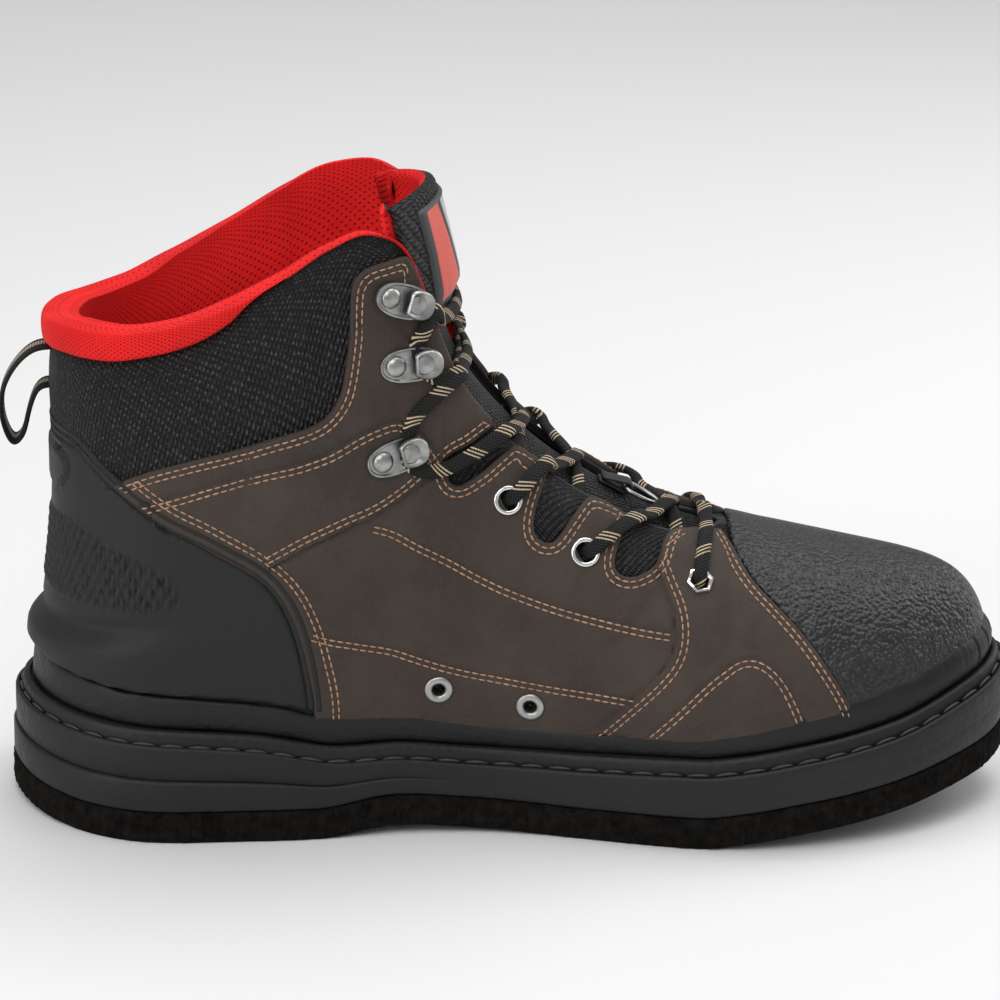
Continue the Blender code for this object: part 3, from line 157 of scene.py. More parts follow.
# Top line of the upper, from the heel's back round the collar, down the throat and along the
# ridge to the toe: share of the girth, each side's share of the length and half width as a share
# of the collar's width, share of the instep's depth, and each side's share of the collar's rise
TOP_LINE = [
    # u, x medial, x lateral, medial, lateral, instep, rise medial, rise lateral
    (0.000, 0.045, 0.045, 0.000, 0.000, 1.000, 0.643, 0.643),
    (0.050, 0.051, 0.053, 0.190, 0.184, 1.000, 0.661, 0.636),
    (0.100, 0.070, 0.075, 0.333, 0.318, 1.000, 0.674, 0.632),
    (0.150, 0.106, 0.112, 0.423, 0.425, 1.000, 0.674, 0.648),
    (0.200, 0.156, 0.160, 0.470, 0.505, 1.000, 0.696, 0.706),
    (0.250, 0.212, 0.215, 0.488, 0.530, 1.000, 0.753, 0.790),
    (0.300, 0.272, 0.276, 0.482, 0.530, 1.000, 0.841, 0.897),
    (0.335, 0.312, 0.322, 0.458, 0.510, 1.000, 0.912, 0.961),
    (0.360, 0.344, 0.357, 0.429, 0.488, 1.000, 0.947, 0.975),
    (0.380, 0.369, 0.386, 0.387, 0.452, 1.000, 0.925, 0.945),
    (0.395, 0.383, 0.403, 0.351, 0.405, 1.000, 0.885, 0.889),
    (0.415, 0.398, 0.414, 0.327, 0.357, 1.000, 0.789, 0.789),
    (0.440, 0.414, 0.424, 0.304, 0.327, 1.000, 0.656, 0.656),
    (0.465, 0.434, 0.440, 0.280, 0.304, 1.000, 0.515, 0.520),
    (0.495, 0.469, 0.472, 0.256, 0.274, 1.000, 0.383, 0.388),
    (0.535, 0.522, 0.522, 0.226, 0.238, 1.000, 0.242, 0.251),
    (0.575, 0.575, 0.575, 0.202, 0.208, 1.000, 0.141, 0.150),
    (0.615, 0.622, 0.622, 0.179, 0.179, 1.000, 0.070, 0.075),
    (0.645, 0.662, 0.662, 0.152, 0.152, 1.000, 0.032, 0.032),
    (0.665, 0.688, 0.688, 0.110, 0.110, 1.020, 0.012, 0.012),
    (0.685, 0.704, 0.704, 0.000, 0.000, 1.046, 0.002, 0.002),
    (0.730, 0.745, 0.745, 0.010, -0.010, 0.996, 0.000, 0.000),
    (0.790, 0.788, 0.788, 0.020, -0.020, 0.935, 0.000, 0.000),
    (0.850, 0.831, 0.831, 0.028, -0.028, 0.888, 0.000, 0.000),
    (0.910, 0.867, 0.867, 0.033, -0.033, 0.855, 0.000, 0.000),
    (0.960, 0.891, 0.891, 0.036, -0.036, 0.832, 0.000, 0.000),
    (1.000, 0.900, 0.900, 0.036, -0.036, 0.822, 0.000, 0.000),
]
THROAT_TOP = 0.385
THROAT_END = 0.685

# Sections of the upper: share of the girth, fullness (1 straight, 2 a quarter ellipse), then the
# swell low on the side and half way up it
SECTIONS = [
    # u, fullness, low, middle
    (0.00, 1.00, 0.00, -0.95),
    (0.10, 1.00, 0.35, -0.85),
    (0.20, 1.05, 0.75, -0.60),
    (0.30, 1.10, 1.00, -0.35),
    (0.40, 1.30, 1.00, 0.00),
    (0.50, 1.60, 1.00, 0.25),
    (0.60, 1.80, 0.75, 0.25),
    (0.70, 1.95, 0.35, 0.00),
    (0.80, 2.15, 0.00, 0.00),
    (1.00, 2.15, 0.00, 0.00),
]

# Rear edge of the toe cap: height share, share of the girth
CAP_EDGE = [
    # v, u
    (0.00, 0.793),
    (0.11, 0.786),
    (0.28, 0.766),
    (0.41, 0.747),
    (0.54, 0.722),
    (0.63, 0.704),
    (0.80, 0.690),
    (1.00, 0.694),
]

# Lace hooks: girth and height share of the rivet, then of the hook's dome
HOOKS = [
    # u rivet, v rivet, u dome, v dome
    (0.378, 0.740, 0.408, 0.808),
    (0.391, 0.635, 0.418, 0.698),
    (0.382, 0.487, 0.404, 0.512),
]

# Eyelets: girth and height share
EYELETS = [
    # u, v
    (0.497, 0.610),
    (0.557, 0.596),
    (0.652, 0.633),
]
DRAINS = [
    # u, v
    (0.434, 0.159),
    (0.509, 0.141),
]

# Pull loop in side view: shares of its reach behind the collar and of its drop
LOOP = [
    # reach, drop
    (0.04, 0.00),
    (0.28, 0.02),
    (0.64, 0.16),
    (0.92, 0.40),
    (1.00, 0.64),
    (0.93, 0.86),
    (0.76, 1.00),
    (0.60, 0.94),
    (0.49, 0.76),
    (0.38, 0.56),
    (0.20, 0.42),
    (0.04, 0.40),
]

# Curves through tables

def column(table, index):
    """One column of a table, as an array."""
    return np.array([row[index] for row in table], float)


def travelled(points):
    """Distance travelled along a row of points, at each of them."""
    return np.concatenate([[0.0], np.cumsum(np.linalg.norm(np.diff(points, axis=0), axis=1))])


def full_turn(count):
    """Even angles once round."""
    return np.linspace(0.0, 2.0 * math.pi, count, endpoint=False)


def smooth_step(value, start, end):
    """0 before start, 1 after end, eased between them."""
    share = np.clip((np.asarray(value, float) - start) / (end - start), 0.0, 1.0)
    return share * share * (3.0 - 2.0 * share)


def monotone(knots, values, at):
    """A smooth curve through a table that never swings past its values."""
    knots = np.asarray(knots, float)
    values = np.asarray(values, float)
    at = np.clip(np.asarray(at, float), knots[0], knots[-1])
    step = np.diff(knots)
    slope = np.diff(values) / step
    tangent = np.zeros_like(values)
    tangent[0] = slope[0]
    tangent[-1] = slope[-1]
    for i in range(1, len(values) - 1):
        if slope[i - 1] * slope[i] > 0.0:
            before = 2.0 * step[i] + step[i - 1]
            after = step[i] + 2.0 * step[i - 1]
            tangent[i] = (before + after) / (before / slope[i - 1] + after / slope[i])
    k = np.clip(np.searchsorted(knots, at, side="right") - 1, 0, len(step) - 1)
    share = (at - knots[k]) / step[k]
    rest = 1.0 - share
    return (values[k] * (1.0 + 2.0 * share) * rest ** 2
            + values[k + 1] * (3.0 - 2.0 * share) * share ** 2
            + tangent[k] * step[k] * share * rest ** 2
            - tangent[k + 1] * step[k] * rest * share ** 2)


def mirrored(knots, values, at, sign, toe_sign=1.0):
    """A curve on shares 0 to 1 that runs on smoothly through the heel's and the toe's middle."""
    knots = np.asarray(knots, float)
    values = np.asarray(values, float)
    long_knots = np.concatenate([-knots[2:0:-1], knots, 2.0 - knots[-2:-4:-1]])
    long_values = np.concatenate([sign * values[2:0:-1], values, toe_sign * values[-2:-4:-1]])
    return monotone(long_knots, long_values, at)


def spline_bend(knots, points):
    """Second differences of a natural cubic spline through points."""
    count = len(knots)
    step = np.diff(knots)
    matrix = np.eye(count)
    right = np.zeros_like(points)
    for i in range(1, count - 1):
        matrix[i, i - 1:i + 2] = step[i - 1], 2.0 * (step[i - 1] + step[i]), step[i]
        right[i] = 6.0 * ((points[i + 1] - points[i]) / step[i]
                          - (points[i] - points[i - 1]) / step[i - 1])
    return np.linalg.solve(matrix, right)


def spline_at(knots, points, bend, at):
    """Points of a natural cubic spline at the given places."""
    step = np.diff(knots)
    k = np.clip(np.searchsorted(knots, at, side="right") - 1, 0, len(step) - 1)
    width = step[k][:, None]
    done = (at - knots[k])[:, None]
    left = width - done
    return ((bend[k] * left ** 3 + bend[k + 1] * done ** 3) / (6.0 * width)
            + (points[k] / width - bend[k] * width / 6.0) * left
            + (points[k + 1] / width - bend[k + 1] * width / 6.0) * done)


# Outline and heights of the sole

def width_at(x):
    """Width of the sole at a share of its length, before the outline's shares."""
    return HEEL_WIDTH + (BALL_WIDTH - HEEL_WIDTH) * smooth_step(x, 0.30, 0.70)


def outline_spline():
    """The sole's outline as a closed spline: knots, points, bend, then heel, toe and heel again."""
    x = column(OUTLINE, 0)
    medial = np.column_stack([x * SOLE_LENGTH, -column(OUTLINE, 1) * width_at(x)])
    lateral = np.column_stack([x * SOLE_LENGTH, column(OUTLINE, 2) * width_at(x)])
    loop = np.vstack([medial, lateral[-2:0:-1]])
    wrap = 5
    closed = np.vstack([loop[-wrap:], loop, loop[:wrap + 1]])
    knots = travelled(closed)
    heel = knots[wrap]
    toe = knots[wrap + len(medial) - 1]
    back = knots[wrap + len(loop)]
    return knots, closed, spline_bend(knots, closed), heel, toe, back


OUTLINE_SPLINE = outline_spline()


def outline_at(side, u, inset):
    """Points of the outline at girth shares u, set in by a distance. side: -1 medial, 1 lateral."""
    knots, points, bend, heel, toe, back = OUTLINE_SPLINE
    u = np.asarray(u, float)
    at = heel + u * (toe - heel) if side < 0 else back - u * (back - toe)
    here = spline_at(knots, points, bend, at)
    nudge = 1e-4 * SOLE_LENGTH
    ahead = (spline_at(knots, points, bend, at + nudge)
             - spline_at(knots, points, bend, at - nudge))
    ahead /= np.linalg.norm(ahead, axis=1)[:, None]
    inward = np.column_stack([-ahead[:, 1], ahead[:, 0]])
    return here + inward * np.asarray(inset, float).reshape(-1, 1), -inward


def floor_height(x):
    """Height of the felt's underside at lengths x."""
    share = x / SOLE_LENGTH
    knots = column(UNDERSIDE, 0)
    return (monotone(knots, column(UNDERSIDE, 1), share) * TOE_SPRING
            + monotone(knots, column(UNDERSIDE, 2), share) * WAIST_LIFT
            + monotone(knots, column(UNDERSIDE, 3), share) * HEEL_BEVEL)


def felt_top(x):
    return floor_height(x) + FELT_THICKNESS


def side_share(x, index):
    return monotone(column(SIDE, 0), column(SIDE, index), x / SOLE_LENGTH)


def ledge_height(x):
    """Height of the wall's top edge."""
    return felt_top(x) + side_share(x, 1) * WALL_HEIGHT


def seat_height(x):
    """Height of the midsole's top, on which upper, rand and insole stand."""
    return ledge_height(x) + BEAD_HEIGHT


def rand_top(x):
    return ledge_height(x) + side_share(x, 2) * RAND_HEIGHT


# Surface of the upper

def top_point(side, u):
    """Points of the top line on one side."""
    knots = column(TOP_LINE, 0)
    lateral = side > 0
    x = mirrored(knots, column(TOP_LINE, 1 + lateral), u, 1.0) * SOLE_LENGTH
    half = mirrored(knots, column(TOP_LINE, 3 + lateral), u, -1.0) * COLLAR_WIDTH
    instep = mirrored(knots, column(TOP_LINE, 5), u, 1.0) * INSTEP_DEPTH
    rise = mirrored(knots, column(TOP_LINE, 6 + lateral), u, 1.0) * COLLAR_RISE
    return np.column_stack([x, side * half, BASE_HEIGHT + instep + rise])


def upper_point(side, u, v):
    """Points of the upper's outer face: u along the girth, v from the feather line up."""
    u = np.asarray(u, float)
    v = np.asarray(v, float)
    foot, outward = outline_at(side, u, FEATHER_INSET)
    foot = np.column_stack([foot, seat_height(foot[:, 0]) + GAP])
    top = top_point(side, u)
    knots = column(SECTIONS, 0)
    power = 2.0 / mirrored(knots, column(SECTIONS, 1), u, 1.0)
    low = mirrored(knots, column(SECTIONS, 2), u, 1.0) * SWELL
    middle = mirrored(knots, column(SECTIONS, 3), u, 1.0) * SWELL
    angle = v * math.pi / 2.0
    across = 1.0 - np.maximum(np.cos(angle), 0.0) ** power
    rise = np.sin(angle) ** power
    bulge = low * 9.48 * rise * (1.0 - rise) ** 3 + middle * 16.0 * (rise * (1.0 - rise)) ** 2
    point = foot.copy()
    point[:, :2] += (top[:, :2] - foot[:, :2]) * across[:, None] + outward * bulge[:, None]
    point[:, 2] += (top[:, 2] - foot[:, 2]) * rise
    return point


def upper_normal(side, u, v):
    """Outward normals of the outer face, from small steps along it."""
    u = np.asarray(u, float)
    v = np.asarray(v, float)
    step = 2e-3
    before = np.clip(v - step, 0.0, 1.0)
    after = np.clip(v + step, 0.0, 1.0)
    upward = upper_point(side, u, after) - upper_point(side, u, before)
    back = np.clip(u - step, 0.0, 1.0)
    ahead = np.clip(u + step, 0.0, 1.0)
    forward = upper_point(side, ahead, v) - upper_point(side, back, v)
    normal = np.cross(forward, upward) * -side
    normal[(u <= 0.0) | (u >= 1.0), 1] = 0.0
    return normal / np.linalg.norm(normal, axis=1)[:, None]


def skin_point(side, u, v, offset):
    """Points at a distance outside the upper's outer face, or inside it where negative."""
    return upper_point(side, u, v) + upper_normal(side, u, v) * np.reshape(offset, (-1, 1))


def wall_thickness(u, v):
    """Thickness of the upper: a plain wall that swells into the padded collar."""
    collar = smooth_step(v, 0.50, 0.78) * (1.0 - smooth_step(u, 0.27, 0.375))
    return UPPER_WALL + COLLAR_PAD * collar


def height_share(side, u, height):
    """The share v at which each rib reaches a height."""
    low = np.zeros_like(u)
    high = np.ones_like(u)
    for _ in range(30):
        middle = 0.5 * (low + high)
        below = upper_point(side, u, middle)[:, 2] < height
        low = np.where(below, middle, low)
        high = np.where(below, high, middle)
    return 0.5 * (low + high)


def throat_arch(u):
    """Frame of the arch over the throat at one rib: middle, half gap, upward direction, crown."""
    here = np.array([u])
    edges = [top_point(side, here)[0] for side in (-1, 1)]
    below = [upper_point(side, here, np.array([0.96]))[0] for side in (-1, 1)]
    middle = 0.5 * (edges[0] + edges[1])
    half = 0.5 * np.linalg.norm(edges[1] - edges[0])
    ahead = 0.5 * sum(top_point(side, here + 0.01)[0] - top_point(side, here - 0.01)[0]
                      for side in (-1, 1))
    upward = np.cross(ahead, [0.0, 1.0, 0.0])
    upward /= np.linalg.norm(upward)
    climb = 0.5 * sum((edge - foot) / np.linalg.norm(edge - foot)
                      for edge, foot in zip(edges, below))
    slope = np.dot(climb, upward) / max(abs(climb[1]), 0.3)
    crown = 0.5 * half * np.clip(slope, 0.0, 0.6)
    crown += TONGUE_CROWN * smooth_step(half / COLLAR_WIDTH, 0.0, 0.17)
    return middle, half, upward, crown


def tongue_section(u, across, depth):
    """Points across the tongue at one rib, at distances along the surface from its middle."""
    middle, half, upward, crown = throat_arch(u)
    shares = np.linspace(1.0, 0.3, 141)
    line = np.zeros((len(across), 3))
    reach = np.abs(across)
    over = reach <= half
    arch = crown * (1.0 - (reach[over] / max(half, GAP)) ** 2) - depth
    line[over] = middle + upward * arch[:, None]
    line[over, 1] += across[over]
    for side in (-1, 1):
        under = ~over & (across * side > 0.0)
        rib = upper_point(side, np.full_like(shares, u), shares)
        along = travelled(rib)
        share = np.interp(reach[under] - half, along, shares)
        if under.any():
            line[under] = skin_point(side, np.full_like(share, u), share, -depth)
    return line


def cap_edge(v):
    return monotone(column(CAP_EDGE, 0), column(CAP_EDGE, 1), v)


# Throat opening between the leather's tabs and trims, and seams of the leather, as places t, v on
# the medial side. The lateral side has the same ones turned over.
REAR_EDGE = [(0.330, 0.020), (0.329, 0.154), (0.322, 0.229), (0.315, 0.280), (0.299, 0.345),
             (0.275, 0.395), (0.251, 0.428), (0.227, 0.460), (0.198, 0.493), (0.176, 0.522),
             (0.146, 0.563)]
COLLAR_EDGE = [(0.146, 0.563), (0.170, 0.578), (0.212, 0.591), (0.252, 0.591), (0.304, 0.584),
               (0.333, 0.580), (0.346, 0.602), (0.350, 0.640), (0.352, 0.690), (0.352, 0.755), (0.356, 0.800),
               (0.381, 0.853), (0.400, 0.958)]
FLAP_TOP = [(0.400, 0.958), (0.425, 0.956), (0.445, 0.953), (0.470, 0.945), (0.490, 0.935)]
FLAP_FRONT = [(0.490, 0.935), (0.494, 0.895), (0.476, 0.718), (0.459, 0.632), (0.440, 0.556)]
TAB_ONE = [(0.440, 0.556), (0.445, 0.536), (0.453, 0.540), (0.466, 0.581), (0.479, 0.638),
           (0.491, 0.711), (0.503, 0.810), (0.514, 0.920), (0.525, 0.950), (0.536, 0.910)]
TAB_TWO = [(0.536, 0.910), (0.528, 0.760), (0.518, 0.610), (0.519, 0.562), (0.529, 0.566),
           (0.541, 0.633), (0.552, 0.733), (0.562, 0.850), (0.573, 0.935), (0.590, 0.945),
           (0.600, 0.890)]
TAB_THREE = [(0.600, 0.890), (0.590, 0.740), (0.582, 0.620), (0.584, 0.577), (0.595, 0.580),
             (0.606, 0.612), (0.617, 0.667), (0.624, 0.760), (0.630, 0.864), (0.640, 0.950)]
FRONT_TOP = [(0.640, 0.950), (0.652, 0.972), (0.664, 0.950), (0.678, 0.885)]
CAP_SEAM_LINE = [(0.678, 0.885), (0.688, 0.800), (0.702, 0.640), (0.724, 0.530), (0.749, 0.405),
                 (0.768, 0.276), (0.787, 0.120), (0.795, 0.020)]
FOOT_EDGE = [(0.795, 0.020), (0.330, 0.020)]
LEATHER_OUTLINE = [FOOT_EDGE[::-1], CAP_SEAM_LINE[::-1], FRONT_TOP[::-1], TAB_THREE[::-1],
                   TAB_TWO[::-1], TAB_ONE[::-1], FLAP_FRONT[::-1], FLAP_TOP[::-1],
                   COLLAR_EDGE[::-1], REAR_EDGE[::-1]]
SEAM_ANKLE = [(0.440, 0.556), (0.419, 0.566), (0.400, 0.560), (0.383, 0.550), (0.352, 0.534),
              (0.318, 0.536), (0.278, 0.546), (0.226, 0.543), (0.178, 0.531)]
SEAM_QUARTER = [(0.439, 0.552), (0.419, 0.493), (0.396, 0.444), (0.370, 0.422), (0.344, 0.419),
                (0.316, 0.415), (0.290, 0.402)]
SEAM_SIDE = [(0.375, 0.414), (0.415, 0.397), (0.459, 0.400), (0.491, 0.398), (0.537, 0.406),
             (0.574, 0.414), (0.628, 0.424)]
SEAM_LOW = [(0.327, 0.290), (0.373, 0.248), (0.431, 0.214), (0.470, 0.207), (0.517, 0.205),
            (0.555, 0.206), (0.597, 0.200)]
FRONT_SEAM = [(0.633, 0.930), (0.629, 0.864), (0.620, 0.794), (0.617, 0.740), (0.621, 0.617),
              (0.630, 0.507), (0.632, 0.407), (0.627, 0.331), (0.613, 0.260), (0.591, 0.181),
              (0.561, 0.080)]
FRONT_ARC = [(0.607, 0.085), (0.635, 0.186), (0.659, 0.275), (0.679, 0.316), (0.700, 0.328),
             (0.717, 0.292), (0.731, 0.216), (0.745, 0.085)]

# Red band of the collar: girth share, height share of its lower edge
RED_EDGE = [
    # u, v
    (0.000, 0.815),
    (0.060, 0.816),
    (0.138, 0.817),
    (0.188, 0.826),
    (0.232, 0.838),
    (0.256, 0.865),
    (0.271, 0.915),
    (0.285, 0.945),
    (0.320, 0.952),
    (0.400, 0.950),
    (0.500, 0.950),
    (1.000, 0.950),
]

# Soft folds of the upper: place, direction on the surface in degrees, half length, half width and
# depth in metres, below 0 for a ridge
FOLDS = [
    # t, v, turn, length, width, depth
    (0.600, 0.450, 62.0, 0.020, 0.0040, 0.0006),
    (0.575, 0.330, 50.0, 0.016, 0.0035, 0.0004),
    (0.545, 0.480, 70.0, 0.014, 0.0030, -0.0004),
    (0.452, 0.330, 20.0, 0.030, 0.0060, 0.0005),
    (0.400, 0.480, 10.0, 0.022, 0.0040, -0.0005),
    (0.330, 0.700, 75.0, 0.022, 0.0060, 0.0006),
    (0.240, 0.700, 80.0, 0.018, 0.0050, 0.0005),
    (0.290, 0.650, 20.0, 0.020, 0.0040, -0.0005),
    (0.650, 0.300, 40.0, 0.018, 0.0045, 0.0004),
    (0.700, 0.450, 60.0, 0.012, 0.0040, -0.0004),
]

# Camera, fitted to the photo: turn, height angle and roll in degrees, distance and aim in metres,
# lens and sensor in millimetres
CAMERA_TURN = -4.0
CAMERA_TILT = 19.5
CAMERA_ROLL = 1.2
CAMERA_DISTANCE = 1.25
CAMERA_LENS = 141.66
CAMERA_SENSOR = 36.0
CAMERA_AIM = (0.1552, 0.0, 0.096)

MILLIMETRE = 0.001
# Mean length of the girth and height of the upper, for maps and reliefs
GIRTH = 0.400
RISE = 0.110
# Girth share where the dark trim of the throat begins
TRIM_START = 0.470


# Sizes and colours that a user would change

def length(name, about, default):
    return FloatProperty(name=name, description=about, default=default, min=0.0, unit="LENGTH",
                         precision=4)


def colour(name, about, default):
    return FloatVectorProperty(name=name, description=about, default=default, size=3, min=0.0,
                               max=1.0, subtype="COLOR")


class BootSizes(bpy.types.PropertyGroup):
    leather: length("Leather", "Thickness of the leather panels", 0.0014)
    overlap: length("Overlap", "Height of the step where one panel lies on another", 0.0008)
    cell: length("Mesh size", "Distance between the points of a panel", 0.00115)
    stitch_pitch: length("Stitch pitch", "Distance from stitch to stitch", 0.0026)
    stitch_width: length("Stitch width", "Thickness of the sewing thread", 0.00062)
    seam_inset: length("Seam inset", "Distance of the first stitch row from an edge", 0.0017)
    row_gap: length("Row gap", "Distance between the rows of a double seam", 0.0017)
    lace_width: length("Lace width", "Width of the flat lace", 0.0047)
    lace_thickness: length("Lace thickness", "Thickness of the lace", 0.0025)
    wire: length("Ring wire", "Thickness of the ring's wire", 0.0015)


class BootColours(bpy.types.PropertyGroup):
    leather: colour("Leather", "Brown of the leather", (0.046, 0.0345, 0.0280))
    thread: colour("Thread", "Tan of the stitches", (0.40, 0.235, 0.145))
    textile: colour("Textile", "Black of the mesh fabric", (0.0060, 0.0060, 0.0062))
    lining: colour("Lining", "Red of the collar and lining", (0.78, 0.012, 0.012))
    rubber: colour("Rubber", "Dark grey of the sole", (0.0070, 0.0074, 0.0074))
    counter: colour("Counter", "Black of the heel counter", (0.0080, 0.0085, 0.0088))
    cap: colour("Toe cap", "Grey of the pebbled toe cap", (0.0130, 0.0136, 0.0150))
    felt: colour("Felt", "Brown black of the felt", (0.0060, 0.0052, 0.0046))
    steel: colour("Steel", "Brushed steel of hooks and ring", (0.40, 0.40, 0.395))
    lace: colour("Lace", "Black of the lace", (0.0085, 0.0084, 0.0078))
    fleck: colour("Fleck", "Tan of the lace's flecks", (0.62, 0.49, 0.33))


def sizes():
    return bpy.context.scene.boot_sizes


def colours():
    return bpy.context.scene.boot_colours


# Places on the boot

def frame_shift():
    """From the last's own origin at the heel to the frame's."""
    low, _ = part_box("outsole")
    u = np.linspace(0.0, 1.0, 400)
    edge, _ = outline_at(-1, u, 0.0)
    return np.array([low.x, low.y - edge[:, 1].min(), low.z])


SHIFT = frame_shift()


def fold_over(t):
    """Side and girth share of places t; past 1 they run back on the lateral side."""
    t = np.asarray(t, float)
    side = np.where((t < 0.0) | (t > 1.0), 1, -1)
    return side, np.where(t < 0.0, -t, np.where(t > 1.0, 2.0 - t, t))


def skin(t, v, offset=0.0):
    """Points at an offset outside the upper's surface."""
    t, v, offset = np.broadcast_arrays(np.atleast_1d(t).astype(float), v, offset)
    side, u = fold_over(t)
    points = np.empty((len(u), 3))
    for word in (-1, 1):
        pick = side == word
        if pick.any():
            points[pick] = skin_point(word, u[pick], v[pick], offset[pick])
    return points + SHIFT


def skin_normal(t, v):
    t, v = np.broadcast_arrays(np.atleast_1d(t).astype(float), v)
    side, u = fold_over(t)
    normals = np.empty((len(u), 3))
    for word in (-1, 1):
        pick = side == word
        if pick.any():
            normals[pick] = upper_normal(word, u[pick], v[pick])
    return normals


def unit(vectors):
    return vectors / np.maximum(np.linalg.norm(vectors, axis=-1, keepdims=True), 1e-12)


def curve_through(points, per_span=14):
    """A smooth curve through points of any dimension, dense."""
    points = np.asarray(points, float)
    if len(points) < 3:
        return points[0] + (points[-1] - points[0]) * np.linspace(0, 1, 40)[:, None]
    scale = np.array([GIRTH, RISE]) if points.shape[1] == 2 else 1.0
    chord = np.linalg.norm(np.diff(points * scale, axis=0)[:, :3], axis=1)
    knots = np.concatenate([[0.0], np.cumsum(np.sqrt(chord))])
    at = np.concatenate([np.linspace(a, b, per_span, endpoint=False)
                         for a, b in zip(knots, knots[1:])] + [knots[-1:]])
    return spline_at(knots, points, spline_bend(knots, points), at)


def evenly(path, where, spacing):
    """A path thinned or filled to even distances measured between its points' places."""
    gone = travelled(where)
    count = max(2, int(round(gone[-1] / spacing)) + 1)
    at = np.linspace(0.0, gone[-1], count)
    return np.column_stack([np.interp(at, gone, column_) for column_ in np.asarray(path).T])


def surface_path(points, spacing):
    path = curve_through(points)
    return evenly(path, skin(path[:, 0], path[:, 1]), spacing)


def turned_over(points):
    """The same path on the other side, still with the same parts on its left."""
    return [(-t, v) for t, v in points][::-1]


def beside(path, distance, closed=False):
    """A path moved to its left along the surface."""
    t, v = path[:, 0], path[:, 1]
    small = 5e-4
    here = skin(t, v)
    along_t = (skin(t + small, v) - skin(t - small, v)) / (2.0 * small)
    low = np.clip(v - small, 0.0, 1.0)
    high = np.clip(v + small, 0.0, 1.0)
    along_v = (skin(t, high) - skin(t, low)) / (high - low)[:, None]
    if closed:
        ahead = np.roll(here, -1, axis=0) - np.roll(here, 1, axis=0)
    else:
        ahead = np.gradient(here, axis=0)
    left = unit(np.cross(skin_normal(t, v), ahead)) * distance
    a = (along_t * along_t).sum(1)
    b = (along_t * along_v).sum(1)
    c = (along_v * along_v).sum(1)
    p = (along_t * left).sum(1)
    q = (along_v * left).sum(1)
    share = np.maximum(a * c - b * b, 1e-12)
    moved = np.column_stack([t + (c * p - b * q) / share, v + (a * q - b * p) / share])
    moved[:, 1] = np.clip(moved[:, 1], 0.0, 1.0)
    return moved


def inside_polygon(points, polygon):
    x, y = points[:, 0], points[:, 1]
    result = np.zeros(len(points), bool)
    for (x0, y0), (x1, y1) in zip(polygon, np.roll(polygon, -1, axis=0)):
        crosses = (y0 > y) != (y1 > y)
        if abs(y1 - y0) > 1e-15:
            result ^= crosses & (x < (x1 - x0) * (y - y0) / (y1 - y0) + x0)
    return result


class Line:
    """A seam or edge on the surface, that tells how far places lie from it."""

    def __init__(self, path):
        self.path = np.asarray(path)
        self.places = skin(self.path[:, 0], self.path[:, 1])

    def distance(self, places):
        """Distance to the nearest of the line's points, worked out in blocks."""
        own = (self.places ** 2).sum(axis=1)
        far = np.empty(len(places))
        for start in range(0, len(places), 4000):
            block = places[start:start + 4000]
            square = (block ** 2).sum(axis=1)[:, None] + own - 2.0 * block @ self.places.T
            far[start:start + 4000] = np.sqrt(np.maximum(square.min(axis=1), 0.0))
        return far


def folds_at(t, v):
    """Height of the upper's soft folds at places t, v."""
    height = np.zeros(len(t))
    u = np.abs(t)
    for fold_t, fold_v, turn, reach, width, depth in FOLDS:
        along = (u - fold_t) * GIRTH
        up = (v - fold_v) * RISE
        c, s = math.cos(math.radians(turn)), math.sin(math.radians(turn))
        far = ((along * c + up * s) / reach) ** 2
        near = ((up * c - along * s) / width) ** 2
        height -= depth * np.exp(-2.0 * (far + near))
    return height


# Meshes

def new_object(name, data):
    """An object of a mesh, camera or light, linked to the scene."""
    made = bpy.data.objects.new(name, data)
    bpy.context.scene.collection.objects.link(made)
    return made


def tidy_mesh(mesh, recalc=True, merge=2e-6):
    shape = bmesh.new()
    shape.from_mesh(mesh)
    bmesh.ops.remove_doubles(shape, verts=shape.verts, dist=merge)
    bmesh.ops.dissolve_degenerate(shape, dist=1e-7, edges=shape.edges)
    if recalc:
        bmesh.ops.recalc_face_normals(shape, faces=shape.faces)
        if shape.calc_volume(signed=True) < 0.0:
            bmesh.ops.reverse_faces(shape, faces=shape.faces)
    shape.to_mesh(mesh)
    shape.free()
    mesh.shade_smooth()


def mesh_from(name, points, faces, uv=None, recalc=True, kinds=None):
    """A clean object from points and faces, with each point's map and each face's finish."""
    mesh = bpy.data.meshes.new(name)
    mesh.from_pydata(np.asarray(points).tolist(), [], [list(map(int, f)) for f in faces])
    if uv is not None:
        layer = mesh.uv_layers.new(name="UVMap")
        loops = np.zeros(len(mesh.loops), int)
        mesh.loops.foreach_get("vertex_index", loops)
        layer.data.foreach_set("uv", np.asarray(uv)[loops].ravel())
    if kinds is not None:
        mesh.polygons.foreach_set("material_index", np.array(kinds, np.int32))
    tidy_mesh(mesh, recalc)
    return new_object(name, mesh)


def grid_faces(rows, columns):
    """Quads of a grid of points, row by row."""
    i, j = np.meshgrid(np.arange(rows - 1), np.arange(columns - 1), indexing="ij")
    a = (i * columns + j).ravel()
    b = a + columns
    return np.column_stack([a, a + 1, b + 1, b])


def ring_faces(levels, count, closed=False):
    """Quads between rings of points stacked one after the other."""
    k = np.arange(count)
    after = (k + 1) % count
    faces = []
    for level in range(levels if closed else levels - 1):
        low = level * count
        high = ((level + 1) % levels) * count
        faces += np.column_stack([low + k, low + after, high + after, high + k]).tolist()
    return faces


